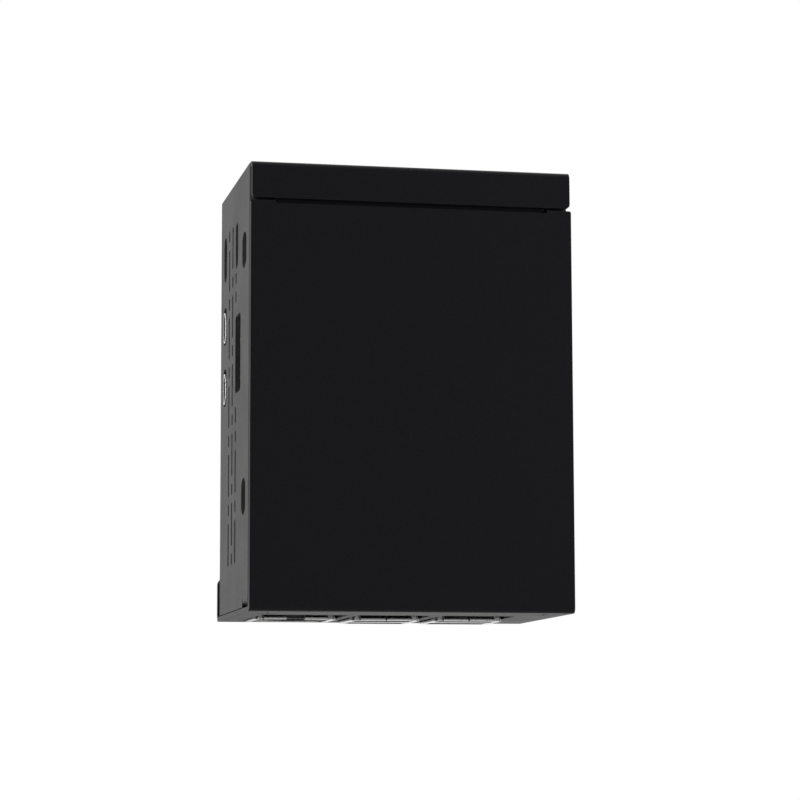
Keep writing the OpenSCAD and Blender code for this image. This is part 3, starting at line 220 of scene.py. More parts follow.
class NodeGraph:
    """Adds and joins the nodes of one shader tree."""

    COLUMN: ClassVar[int] = 220
    NOISE_ROUGHNESS: ClassVar[float] = 0.55

    def __init__(self, tree: bpy.types.NodeTree) -> None:
        """Takes a tree and removes its old nodes."""
        self.tree = tree
        self.tree.nodes.clear()

    def add(self, kind: str, **settings: object) -> bpy.types.Node:
        """Adds a node.

        Args:
            kind: The node's type, such as ShaderNodeBump.
            **settings: Attributes to set on the node.

        Returns:
            The new node.
        """
        node = self.tree.nodes.new(kind)
        node.location = (self.COLUMN * len(self.tree.nodes), 0)
        for name, value in settings.items():
            setattr(node, name, value)
        return node

    def feed(self, target: Socket, value: object) -> None:
        """Sets an input, or links it where the value is another node's output.

        Args:
            target: The input socket.
            value: A socket, a number, a colour or a vector.
        """
        if isinstance(value, bpy.types.NodeSocket):
            self.tree.links.new(value, target)
        else:
            target.default_value = value

    def math(self, operation: str, a: Value, b: Value = 0.0) -> Socket:
        """Adds a Math node.

        Args:
            operation: The operation, such as MULTIPLY.
            a: The first value.
            b: The second value.

        Returns:
            The result's socket.
        """
        node = self.add("ShaderNodeMath", operation=operation)
        self.feed(node.inputs[0], a)
        self.feed(node.inputs[1], b)
        return node.outputs[0]

    def scale(self, value: Value, share: Value) -> Socket:
        """Returns the value times that share."""
        return self.math("MULTIPLY", value, share)

    def rest(self, value: Value) -> Socket:
        """Returns what the value leaves of 1."""
        return self.math("SUBTRACT", 1.0, value)

    def weigh(self, first: Value, second: Value, share: float) -> Socket:
        """Returns the two values' mean, with that share of the first."""
        return self.math("ADD", self.scale(first, share), self.scale(second, 1.0 - share))

    def remap(self, value: Value, source: Span, target: Span, smooth: bool = False) -> Socket:
        """Adds a Map Range node that clamps its result.

        Args:
            value: The value to map.
            source: The range it comes from.
            target: The range it goes to.
            smooth: Whether the ends ease in and out.

        Returns:
            The result's socket.
        """
        node = self.add("ShaderNodeMapRange", interpolation_type="SMOOTHSTEP" if smooth else "LINEAR")
        self.feed(node.inputs["Value"], value)
        for name, number in zip(("From Min", "From Max", "To Min", "To Max"), (*source, *target)):
            node.inputs[name].default_value = number
        return node.outputs["Result"]

    def mask(self, value: Value, ends: Span) -> Socket:
        """Returns a soft mask that goes from 0 at the first end to 1 at the second."""
        return self.remap(value, ends, (0.0, 1.0), smooth=True)

    def blend(self, factor: Value, a: object, b: object) -> Socket:
        """Adds a colour Mix node.

        Args:
            factor: How much of the second colour shows.
            a: The first colour or its socket.
            b: The second colour or its socket.

        Returns:
            The mixed colour's socket.
        """
        node = self.add("ShaderNodeMix", data_type="RGBA")
        for index, value in ((0, factor), (6, a), (7, b)):
            self.feed(node.inputs[index], (*value, 1.0) if isinstance(value, tuple) else value)
        return node.outputs[2]

    def noise(self, vector: Socket, scale: Value, detail: float) -> Socket:
        """Adds a Noise texture.

        Args:
            vector: Where it is read.
            scale: Its scale, per metre.
            detail: How many octaves it has.

        Returns:
            The value's socket, about 0 to 1.
        """
        node = self.add("ShaderNodeTexNoise")
        self.feed(node.inputs["Vector"], vector)
        self.feed(node.inputs["Scale"], scale)
        node.inputs["Detail"].default_value = detail
        node.inputs["Roughness"].default_value = self.NOISE_ROUGHNESS
        return node.outputs[0]

    def cells(self, vector: Socket, scale: Value, feature: str, distance: str) -> Socket:
        """Adds a flat Voronoi texture.

        Args:
            vector: Where it is read.
            scale: Its scale, per metre.
            feature: Which cell middle is meant: F1 is the nearest, F2 the next.
            distance: How the distance is measured, such as EUCLIDEAN.

        Returns:
            The socket of the distance to that middle.
        """
        node = self.add("ShaderNodeTexVoronoi", voronoi_dimensions="2D", feature=feature, distance=distance)
        self.feed(node.inputs["Vector"], vector)
        self.feed(node.inputs["Scale"], scale)
        return node.outputs["Distance"]

    def split(self, vector: Socket) -> Sockets:
        """Separates a vector.

        Args:
            vector: The vector's socket.

        Returns:
            Its X, Y and Z.
        """
        node = self.add("ShaderNodeSeparateXYZ")
        self.feed(node.inputs[0], vector)
        return {axis: node.outputs[axis] for axis in "XYZ"}

    def join(self, **axes: Value) -> Socket:
        """Joins numbers to a vector.

        Args:
            **axes: The value along X, Y or Z, with 0 for one left out.

        Returns:
            The vector's socket.
        """
        node = self.add("ShaderNodeCombineXYZ")
        for axis, value in axes.items():
            self.feed(node.inputs[axis], value)
        return node.outputs[0]

    def place(self) -> Socket:
        """Returns the place on the part, in metres."""
        return self.add("ShaderNodeTexCoord").outputs["Object"]

    def normal(self) -> Socket:
        """Returns the normal of the face itself."""
        return self.add("ShaderNodeNewGeometry").outputs["True Normal"]


class Effect(ABC):
    """A shader effect that several finishes share, kept as one node group."""

    name: ClassVar[str]
    inputs: ClassVar[dict[str, float]]
    outputs: ClassVar[dict[str, Kind]]

    def __init__(self) -> None:
        """Makes the group with its sockets and fills it."""
        tree = bpy.data.node_groups.new(self.name, "ShaderNodeTree")
        for label, default in self.inputs.items():
            socket = tree.interface.new_socket(name=label, in_out="INPUT", socket_type=Kind.VALUE.value)
            socket.default_value = default
        for label, kind in self.outputs.items():
            tree.interface.new_socket(name=label, in_out="OUTPUT", socket_type=kind.value)
        self.tree = tree
        graph = NodeGraph(tree)
        entry = graph.add("NodeGroupInput")
        made = self.fill(graph, {label: entry.outputs[label] for label in self.inputs})
        leave = graph.add("NodeGroupOutput")
        for label, socket in made.items():
            graph.feed(leave.inputs[label], socket)

    @abstractmethod
    def fill(self, graph: NodeGraph, given: Sockets) -> Sockets:
        """Builds the inside of the group.

        Args:
            graph: The group's own graph.
            given: The group's inputs by name.

        Returns:
            What goes to each output, by name.
        """

    def use(self, graph: NodeGraph, **values: float) -> bpy.types.Node:
        """Adds the group to a material.

        Args:
            graph: The material's graph.
            **values: Numbers for the group's inputs.

        Returns:
            The group node.
        """
        node = graph.add("ShaderNodeGroup", node_tree=self.tree)
        for label, value in values.items():
            node.inputs[label].default_value = value
        return node


class SoftEdge(Effect):
    """Rounds the shading of sharp edges and finds where they are."""

    name = "Soft edge"
    inputs = {"Radius": 0.15 * MM}
    outputs = {"Normal": Kind.VECTOR, "Edge": Kind.VALUE}
    samples: ClassVar[int] = 6
    likeness: ClassVar[Span] = (0.995, 0.75)

    def fill(self, graph: NodeGraph, given: Sockets) -> Sockets:
        """Compares the rounded normal with the flat one.

        Args:
            graph: The group's own graph.
            given: The group's inputs by name.

        Returns:
            What goes to each output, by name.
        """
        bevel = graph.add("ShaderNodeBevel", samples=self.samples)
        graph.feed(bevel.inputs["Radius"], given["Radius"])
        dot = graph.add("ShaderNodeVectorMath", operation="DOT_PRODUCT")
        graph.feed(dot.inputs[0], bevel.outputs["Normal"])
        graph.feed(dot.inputs[1], graph.normal())
        alike = graph.math("ABSOLUTE", dot.outputs["Value"])
        return {"Normal": bevel.outputs["Normal"], "Edge": graph.mask(alike, self.likeness)}


class FineGrain(Effect):
    """Small bumps of a textured coat or a moulded skin, with a sparse bright speckle."""

    name = "Fine grain"
    inputs = {"Scale": 2600.0}
    outputs = {"Height": Kind.VALUE, "Speckle": Kind.VALUE}
    broad_share: ClassVar[float] = 0.7
    fine_ratio: ClassVar[float] = 2.7
    speck_ratio: ClassVar[float] = 1.6
    speck: ClassVar[Span] = (0.58, 0.74)

    def fill(self, graph: NodeGraph, given: Sockets) -> Sockets:
        """Adds a broad and a fine noise, and cuts the speckle from a third.

        Args:
            graph: The group's own graph.
            given: The group's inputs by name.

        Returns:
            What goes to each output, by name.
        """
        place = graph.place()
        broad = graph.noise(place, given["Scale"], detail=2.0)
        fine = graph.noise(place, graph.scale(given["Scale"], self.fine_ratio), detail=1.0)
        specks = graph.noise(place, graph.scale(given["Scale"], self.speck_ratio), detail=1.0)
        height = graph.weigh(broad, fine, self.broad_share)
        return {"Height": height, "Speckle": graph.mask(specks, self.speck)}


class Handling(Effect):
    """Soft patches left by hands, cleaning and dust."""

    name = "Handling"
    inputs = {"Scale": 70.0}
    outputs = {"Smudge": Kind.VALUE, "Dust": Kind.VALUE}
    patch: ClassVar[Span] = (0.38, 0.66)
    upward: ClassVar[Span] = (0.4, 0.95)
    grit_ratio: ClassVar[float] = 45.0
    grit: ClassVar[Span] = (0.5, 0.75)

    def fill(self, graph: NodeGraph, given: Sockets) -> Sockets:
        """Makes broad patches, and dust that lies on faces turned up.

        Args:
            graph: The group's own graph.
            given: The group's inputs by name.

        Returns:
            What goes to each output, by name.
        """
        place = graph.place()
        patches = graph.noise(place, given["Scale"], detail=3.0)
        grains = graph.noise(place, graph.scale(given["Scale"], self.grit_ratio), detail=2.0)
        facing_up = graph.mask(graph.split(graph.normal())["Z"], self.upward)
        dust = graph.math("MULTIPLY", facing_up, graph.mask(grains, self.grit))
        return {"Smudge": graph.mask(patches, self.patch), "Dust": dust}


class DrawnLines(Effect):
    """Fine lines that rolling and drawing leave in sheet metal."""

    name = "Drawn lines"
    inputs = {"Scale": 5000.0, "Length": 0.04}
    outputs = {"Line": Kind.VALUE, "Cloud": Kind.VALUE}
    cloud_ratio: ClassVar[float] = 0.06

    def fill(self, graph: NodeGraph, given: Sockets) -> Sockets:
        """Stretches a fine noise along the part's height.

        Args:
            graph: The group's own graph.
            given: The group's inputs by name.

        Returns:
            What goes to each output, by name.
        """
        place = graph.place()
        axes = graph.split(place)
        drawn = graph.join(X=axes["X"], Y=axes["Y"], Z=graph.scale(axes["Z"], given["Length"]))
        line = graph.noise(drawn, given["Scale"], detail=2.0)
        cloud = graph.noise(place, graph.scale(given["Scale"], self.cloud_ratio), detail=3.0)
        return {"Line": line, "Cloud": cloud}


class BoardArt(Effect):
    """Copper tracks under the solder mask, and the small plated holes between layers."""

    name = "Board art"
    inputs = {"Pitch": 420.0}
    outputs = {"Track": Kind.VALUE, "Via": Kind.VALUE}
    track: ClassVar[Span] = (0.18, 0.1)
    via_ratio: ClassVar[float] = 0.45
    via: ClassVar[Span] = (0.06, 0.04)

    def fill(self, graph: NodeGraph, given: Sockets) -> Sockets:
        """Takes the tracks from cell borders and the holes from cell middles.

        Args:
            graph: The group's own graph.
            given: The group's inputs by name.

        Returns:
            What goes to each output, by name.
        """
        axes = graph.split(graph.place())
        flat = graph.join(X=axes["X"], Y=axes["Z"])
        nearest = graph.cells(flat, given["Pitch"], "F1", "MANHATTAN")
        second = graph.cells(flat, given["Pitch"], "F2", "MANHATTAN")
        middle = graph.cells(flat, graph.scale(given["Pitch"], self.via_ratio), "F1", "EUCLIDEAN")
        border = graph.math("SUBTRACT", second, nearest)
        return {"Track": graph.mask(border, self.track), "Via": graph.mask(middle, self.via)}


class Cavity(Effect):
    """Finds the inside of narrow openings, where the finishes paint shade into metal and light into the coat."""

    name = "Cavity"
    inputs = {"Reach": 12 * MM}
    outputs = {"Depth": Kind.VALUE}
    samples: ClassVar[int] = 8
    own_walls_only: ClassVar[bool] = True
    openness: ClassVar[Span] = (0.9, 0.6)

    def fill(self, graph: NodeGraph, given: Sockets) -> Sockets:
        """Turns how much stands close by into a mask.

        Args:
            graph: The group's own graph.
            given: The group's inputs by name.

        Returns:
            What goes to each output, by name.
        """
        cover = graph.add("ShaderNodeAmbientOcclusion", samples=self.samples,
                          only_local=self.own_walls_only)
        graph.feed(cover.inputs["Distance"], given["Reach"])
        return {"Depth": graph.mask(cover.outputs["AO"], self.openness)}


class TightGap(Cavity):
    """Finds tight gaps between two pieces."""

    name = "Tight gap"
    inputs = {"Reach": 1.6 * MM}
    own_walls_only = False


@dataclass
class Effects:
    """The shared effects, each made once."""

    edge: SoftEdge = field(default_factory=SoftEdge)
    grain: FineGrain = field(default_factory=FineGrain)
    handling: Handling = field(default_factory=Handling)
    lines: DrawnLines = field(default_factory=DrawnLines)
    board: BoardArt = field(default_factory=BoardArt)
    cavity: Cavity = field(default_factory=Cavity)
    gap: TightGap = field(default_factory=TightGap)


@dataclass(frozen=True)
class Finish(ABC):
    """One surface finish of the part.

    Attributes:
        slot: The record's material slot.
        colour: The plain colour, linear.
        roughness: The lowest and highest roughness over the surface.
        edge_radius: How far sharp edges look rounded, in metres.
        relief: How strongly the bumps show.
        relief_depth: The bumps' depth, in metres.
        spread: The stretch of the texture over which the roughness changes.
    """

    slot: Slot
    colour: Colour
    roughness: Span
    edge_radius: float = 0.12 * MM
    relief: float = 0.15
    relief_depth: float = 0.02 * MM
    spread: Span = (0.2, 0.8)

    def build(self, effects: Effects) -> bpy.types.Material:
        """Makes the material.

        Args:
            effects: The shared effects.

        Returns:
            The finished material.
        """
        material = bpy.data.materials.new(self.slot.value)
        material.use_nodes = True
        material.diffuse_color = (*self.colour, 1.0)
        graph = NodeGraph(material.node_tree)
        shader = graph.add("ShaderNodeBsdfPrincipled")
        out = graph.add("ShaderNodeOutputMaterial")
        graph.feed(out.inputs["Surface"], shader.outputs["BSDF"])
        self.shade(graph, shader, effects)
        return material

    @abstractmethod
    def shade(self, graph: NodeGraph, shader: bpy.types.Node, effects: Effects) -> None:
        """Feeds the shader.

        Args:
            graph: The material's graph.
            shader: The Principled shader.
            effects: The shared effects.
        """

    def bump(self, graph: NodeGraph, shader: bpy.types.Node, height: Socket, normal: Socket) -> None:
        """Gives the shader a bumped normal.

        Args:
            graph: The material's graph.
            shader: The Principled shader.
            height: The bumps' height, about 0 to 1.
            normal: The normal that they stand on.
        """
        node = graph.add("ShaderNodeBump")
        node.inputs["Strength"].default_value = self.relief
        node.inputs["Distance"].default_value = self.relief_depth
        graph.feed(node.inputs["Height"], height)
        graph.feed(node.inputs["Normal"], normal)
        graph.feed(shader.inputs["Normal"], node.outputs["Normal"])

    def lighter(self, amount: float) -> Colour:
        """Returns the colour moved towards white by that share."""
        return tuple(c + (1.0 - c) * amount for c in self.colour)

    def darker(self, amount: float) -> Colour:
        """Returns the colour moved towards black by that share."""
        return tuple(c * (1.0 - amount) for c in self.colour)


@dataclass(frozen=True)
class PowderCoat(Finish):
    """Fine textured powder coat on folded steel.

    Attributes:
        specular: The specular level.
        grain_scale: The texture's scale, per metre.
        grain_share: The texture's share in the roughness, beside the hand marks.
        marks_scale: The hand marks' scale, per metre.
        speckle: How strongly the speckle shows.
        speckle_lift: How much lighter the speckle is.
        cavity: How far the inside mask reaches, in metres; inside openings the coat is painted lighter as painted
            light.
        edge_wear: How thin the coat is on edges.
        inside_painted_light: How strongly the coat is painted lighter inside openings, as painted light.
        wear_lift: How much lighter worn edges and the painted light inside openings are.
        gap_dulling: How much rougher tight gaps look.
        dust: How strongly dust shows on top.
        dust_colour: The dust's colour, linear.
    """

    relief: float = 0.25
    relief_depth: float = 0.03 * MM
    specular: float = 0.06
    grain_scale: float = 2400.0
    grain_share: float = 0.88
    marks_scale: float = 60.0
    speckle: float = 0.5
    speckle_lift: float = 0.01
    cavity: float = 80 * MM
    edge_wear: float = 0.15
    inside_painted_light: float = 0.9
    wear_lift: float = 0.09
    gap_dulling: float = 0.5
    dust: float = 0.025
    dust_colour: Colour = (0.3, 0.29, 0.28)

    def shade(self, graph: NodeGraph, shader: bpy.types.Node, effects: Effects) -> None:
        """Varies colour and gloss with the texture, hand marks and worn edges, and paints light inside openings.

        Args:
            graph: The material's graph.
            shader: The Principled shader.
            effects: The shared effects.
        """
        edge = effects.edge.use(graph, Radius=self.edge_radius)
        grain = effects.grain.use(graph, Scale=self.grain_scale)
        marks = effects.handling.use(graph, Scale=self.marks_scale)
        inside = effects.cavity.use(graph, Reach=self.cavity).outputs["Depth"]
        gap = effects.gap.use(graph).outputs["Depth"]
        pale = graph.scale(grain.outputs["Speckle"], self.speckle)
        flecked = graph.blend(pale, self.colour, self.lighter(self.speckle_lift))
        # Edges are lightened as wear; inside openings the coat is painted lighter as painted light, but not in tight
        # gaps.
        wear_and_painted_light = graph.math("MAXIMUM", graph.scale(edge.outputs["Edge"], self.edge_wear),
                          graph.scale(inside, self.inside_painted_light))
        thin = graph.math("MULTIPLY", wear_and_painted_light, graph.rest(gap))
        coat = graph.blend(thin, flecked, self.lighter(self.wear_lift))
        dusty = graph.scale(marks.outputs["Dust"], self.dust)
        graph.feed(shader.inputs["Base Color"], graph.blend(dusty, coat, self.dust_colour))
        texture = graph.weigh(grain.outputs["Height"], marks.outputs["Smudge"], self.grain_share)
        gloss = graph.remap(texture, self.spread, self.roughness)
        dull = graph.math("ADD", gloss, graph.scale(gap, self.gap_dulling))
        graph.feed(shader.inputs["Roughness"], dull)
        shader.inputs["Specular IOR Level"].default_value = self.specular
        self.bump(graph, shader, grain.outputs["Height"], edge.outputs["Normal"])


@dataclass(frozen=True)
class PlatedMetal(Finish):
    """Bare or plated metal with drawing lines.

    Attributes:
        line_scale: The lines' scale, per metre.
        line_length: How much the lines are stretched: small is long.
        line_share: The lines' share in the roughness, beside the clouds.
        cloud: The stretch of the clouds over which the colour changes.
        cloud_shade: How much darker the clouds are.
        edge_painted_highlight: How strongly the painted highlight on edges shows.
        painted_highlight_lift: How much lighter the painted highlight on edges is.
        painted_inside_shade: How much darker the inside of openings is painted, as painted shade.
        inside_dulling: How much rougher the inside of openings looks.
    """

    relief: float = 0.08
    relief_depth: float = 0.01 * MM
    spread: Span = (0.3, 0.7)
    line_scale: float = 5000.0
    line_length: float = 0.05
    line_share: float = 0.5
    cloud: Span = (0.35, 0.7)
    cloud_shade: float = 0.14
    edge_painted_highlight: float = 0.35
    painted_highlight_lift: float = 0.4
    painted_inside_shade: float = 0.92
    inside_dulling: float = 0.35

    def shade(self, graph: NodeGraph, shader: bpy.types.Node, effects: Effects) -> None:
        """Varies colour and gloss along the drawing lines and in cloudy patches, with a painted highlight on edges and
        painted shade inside openings.

        Args:
            graph: The material's graph.
            shader: The Principled shader.
            effects: The shared effects.
        """
        edge = effects.edge.use(graph, Radius=self.edge_radius)
        lines = effects.lines.use(graph, Scale=self.line_scale, Length=self.line_length)
        inside = effects.cavity.use(graph).outputs["Depth"]
        cloudy = graph.remap(lines.outputs["Cloud"], self.cloud, (0.0, 1.0))
        tint = graph.blend(cloudy, self.colour, self.darker(self.cloud_shade))
        # Edges are painted lighter as a painted highlight, and the inside of openings darker as painted shade.
        painted_highlight_mask = graph.scale(edge.outputs["Edge"], self.edge_painted_highlight)
        tint_with_painted_highlight = graph.blend(painted_highlight_mask, tint, self.lighter(self.painted_highlight_lift))
        shaded = graph.blend(inside, tint_with_painted_highlight, self.darker(self.painted_inside_shade))
        graph.feed(shader.inputs["Base Color"], shaded)
        texture = graph.weigh(lines.outputs["Line"], lines.outputs["Cloud"], self.line_share)
        gloss = graph.remap(texture, self.spread, self.roughness)
        dull = graph.math("ADD", gloss, graph.scale(inside, self.inside_dulling))
        graph.feed(shader.inputs["Roughness"], dull)
        shader.inputs["Metallic"].default_value = 1.0
        self.bump(graph, shader, lines.outputs["Line"], edge.outputs["Normal"])


@dataclass(frozen=True)
class MouldedPlastic(Finish):
    """Moulded plastic, ceramic or epoxy with a fine skin.

    Attributes:
        specular: The specular level.
        grain_scale: The skin's scale, per metre.
        grain_share: The skin's share in the roughness, beside the hand marks.
        marks_scale: The hand marks' scale, per metre.
        smudge: How strongly the hand marks show.
        smudge_shade: How much darker the hand marks are.
        edge_wear: How strongly worn edges show.
        speckle: How strongly the speckle shows.
        wear_lift: How much lighter worn edges and the speckle are.
    """

    specular: float = 0.35
    grain_scale: float = 3600.0
    grain_share: float = 0.5
    marks_scale: float = 160.0
    smudge: float = 0.5
    smudge_shade: float = 0.18
    edge_wear: float = 0.5
    speckle: float = 0.25
    wear_lift: float = 0.06

    def shade(self, graph: NodeGraph, shader: bpy.types.Node, effects: Effects) -> None:
        """Varies colour and gloss with the skin and with hand marks.

        Args:
            graph: The material's graph.
            shader: The Principled shader.
            effects: The shared effects.
        """
        edge = effects.edge.use(graph, Radius=self.edge_radius)
        grain = effects.grain.use(graph, Scale=self.grain_scale)
        marks = effects.handling.use(graph, Scale=self.marks_scale)
        handled = graph.scale(marks.outputs["Smudge"], self.smudge)
        shaded = graph.blend(handled, self.colour, self.darker(self.smudge_shade))
        pale = graph.math("MAXIMUM", graph.scale(edge.outputs["Edge"], self.edge_wear),
                          graph.scale(grain.outputs["Speckle"], self.speckle))
        graph.feed(shader.inputs["Base Color"], graph.blend(pale, shaded, self.lighter(self.wear_lift)))
        texture = graph.weigh(grain.outputs["Height"], marks.outputs["Smudge"], self.grain_share)
        graph.feed(shader.inputs["Roughness"], graph.remap(texture, self.spread, self.roughness))
        shader.inputs["Specular IOR Level"].default_value = self.specular
        self.bump(graph, shader, grain.outputs["Height"], edge.outputs["Normal"])


@dataclass(frozen=True)
class SolderMask(Finish):
    """Green solder mask over copper, with plated holes.

    Attributes:
        copper: The colour of the tracks under the mask.
        plating: The colour of the plated holes.
        grain_scale: The mask's grain, per metre.
        grain_share: How high the grain stands beside the tracks.
    """

    relief: float = 0.3
    relief_depth: float = 0.03 * MM
    copper: Colour = (0.045, 0.27, 0.1)
    plating: Colour = (0.72, 0.52, 0.2)
    grain_scale: float = 5200.0
    grain_share: float = 0.15

    def shade(self, graph: NodeGraph, shader: bpy.types.Node, effects: Effects) -> None:
        """Draws tracks and plated holes, and raises the tracks a little.

        Args:
            graph: The material's graph.
            shader: The Principled shader.
            effects: The shared effects.
        """
        edge = effects.edge.use(graph, Radius=self.edge_radius)
        art = effects.board.use(graph)
        grain = effects.grain.use(graph, Scale=self.grain_scale).outputs["Height"]
        mask = graph.blend(art.outputs["Track"], self.colour, self.copper)
        graph.feed(shader.inputs["Base Color"], graph.blend(art.outputs["Via"], mask, self.plating))
        graph.feed(shader.inputs["Metallic"], art.outputs["Via"])
        graph.feed(shader.inputs["Roughness"], graph.remap(grain, self.spread, self.roughness))
        raised = graph.math("ADD", art.outputs["Track"], graph.scale(grain, self.grain_share))
        self.bump(graph, shader, raised, edge.outputs["Normal"])


@dataclass(frozen=True)
class ClearLens(Finish):
    """Tinted clear epoxy of a lamp.

    Attributes:
        grain_scale: The skin's scale, per metre.
        marks_scale: The clouds' scale, per metre.
        cloud_shade: How much darker the clouds are.
        transmission: How much light goes through.
        index: The index of refraction.
    """

    relief: float = 0.05
    relief_depth: float = 0.01 * MM
    spread: Span = (0.0, 1.0)
    grain_scale: float = 4200.0
    marks_scale: float = 400.0
    cloud_shade: float = 0.1
    transmission: float = 0.6
    index: float = 1.5

    def shade(self, graph: NodeGraph, shader: bpy.types.Node, effects: Effects) -> None:
        """Lets light through and clouds the epoxy a little.

        Args:
            graph: The material's graph.
            shader: The Principled shader.
            effects: The shared effects.
        """
        edge = effects.edge.use(graph, Radius=self.edge_radius)
        grain = effects.grain.use(graph, Scale=self.grain_scale)
        cloud = effects.handling.use(graph, Scale=self.marks_scale).outputs["Smudge"]
        tint = graph.blend(cloud, self.colour, self.darker(self.cloud_shade))
        graph.feed(shader.inputs["Base Color"], tint)
        graph.feed(shader.inputs["Roughness"], graph.remap(cloud, self.spread, self.roughness))
        shader.inputs["Transmission Weight"].default_value = self.transmission
        shader.inputs["IOR"].default_value = self.index
        self.bump(graph, shader, grain.outputs["Height"], edge.outputs["Normal"])


FINISHES: tuple[Finish, ...] = (
    PowderCoat(Slot.CASE_COAT, (0.0053, 0.0053, 0.0064), (0.32, 0.44)),
    PowderCoat(Slot.BLACK_SCREW, (0.016, 0.016, 0.018), (0.3, 0.42), edge_radius=0.08 * MM,
               specular=0.35, grain_scale=5200.0),
    PlatedMetal(Slot.PLATED_STEEL, (0.62, 0.62, 0.6), (0.22, 0.38), edge_radius=0.08 * MM),
    SolderMask(Slot.BOARD_MASK, (0.014, 0.12, 0.045), (0.3, 0.42), edge_radius=0.05 * MM),
    MouldedPlastic(Slot.CHIP_BODY, (0.018, 0.018, 0.019), (0.5, 0.66), edge_radius=0.06 * MM,
                   grain_scale=5200.0),
    PlatedMetal(Slot.LID_METAL, (0.6, 0.61, 0.62), (0.3, 0.45), edge_radius=0.08 * MM,
                line_scale=4200.0, line_length=0.2),
    PlatedMetal(Slot.PORT_STEEL, (0.86, 0.86, 0.85), (0.16, 0.3), edge_radius=0.1 * MM),
    MouldedPlastic(Slot.INSERT_BLACK, (0.014, 0.014, 0.015), (0.4, 0.55), edge_radius=0.08 * MM),
    MouldedPlastic(Slot.INSERT_BLUE, (0.03, 0.14, 0.5), (0.35, 0.5), edge_radius=0.08 * MM),
    PlatedMetal(Slot.PIN_GOLD, (0.78, 0.56, 0.22), (0.2, 0.34), edge_radius=0.05 * MM,
                line_scale=7000.0, line_length=0.1),
    MouldedPlastic(Slot.IVORY_PLASTIC, (0.72, 0.67, 0.56), (0.38, 0.52), edge_radius=0.06 * MM),
    ClearLens(Slot.LAMP_LENS, (0.78, 0.8, 0.45), (0.12, 0.3), edge_radius=0.05 * MM),
    MouldedPlastic(Slot.FERRITE, (0.07, 0.063, 0.056), (0.55, 0.7), relief=0.3, grain_scale=6000.0),
    MouldedPlastic(Slot.CERAMIC, (0.4, 0.25, 0.12), (0.4, 0.55), edge_radius=0.06 * MM,
                   grain_scale=7000.0),
    MouldedPlastic(Slot.CLIP_NYLON, (0.017, 0.017, 0.018), (0.42, 0.6), edge_radius=0.2 * MM,
                   relief=0.25, grain_scale=2600.0),
    PlatedMetal(Slot.SPRING_STEEL, (0.5, 0.5, 0.5), (0.25, 0.4), edge_radius=0.03 * MM,
                line_scale=9000.0, line_length=0.3),
)


class Wardrobe:
    """Makes each finish once and puts it on the nodes that take it."""

    def __init__(self, frame: dict) -> None:
        """Makes the materials.
        """
        self.frame = frame
        effects = Effects()
        self.materials = {finish.slot: finish.build(effects) for finish in FINISHES}

    def dress_nodes(self) -> None:
        """Gives every CAD node the finish of its slot in the record."""
        for part in self.frame["record"]["subparts"]:
            slot = Slot(part["material_slot"])
            self.wear(self.frame["nodes"][part["node"]], slot)
            LOG.info("%s wears %s", part["node"], slot.value)

    def wear(self, item: bpy.types.Object, slot: Slot) -> None:
        """Puts the finish of that slot on one object."""
        item.data.materials.clear()
        item.data.materials.append(self.materials[slot])


@dataclass(frozen=True)
class Trim(ABC):
    """A piece that is made here and rides on the case."""

    @abstractmethod
    def build(self, wardrobe: Wardrobe) -> bpy.types.Object:
        """Makes the piece.

        Args:
            wardrobe: Where the finish comes from.

        Returns:
            The new object, which rides on the case.
        """

    @staticmethod
    def skin(work: bmesh.types.BMesh, rings: list[Ring]) -> None:
        """Covers a row of rings and closes both ends.

        Args:
            work: The mesh to add to.
            rings: The rings in their order, each with the same number of points.
        """
        for ring, after in zip(rings, rings[1:]):
            for k in range(len(ring)):
                n = (k + 1) % len(ring)
                work.faces.new((ring[k], ring[n], after[n], after[k])).smooth = True
        work.faces.new(rings[0])
        work.faces.new(rings[-1])

    @staticmethod
    def add(work: bmesh.types.BMesh, name: str, slot: Slot, wardrobe: Wardrobe) -> bpy.types.Object:
        """Turns a mesh into a dressed object that rides on the case.

        Args:
            work: The mesh, which is freed.
            name: The object's name.
            slot: The finish's slot.
            wardrobe: Where the finish comes from.

        Returns:
            The new object.
        """
        bmesh.ops.recalc_face_normals(work, faces=work.faces)
        mesh = bpy.data.meshes.new(name)
        work.to_mesh(mesh)
        work.free()
        item = bpy.data.objects.new(name, mesh)
        bpy.context.scene.collection.objects.link(item)
        wardrobe.wear(item, slot)
        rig.ride(item, Body.CASE.value)
        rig.slot(item, slot.value)
        return item


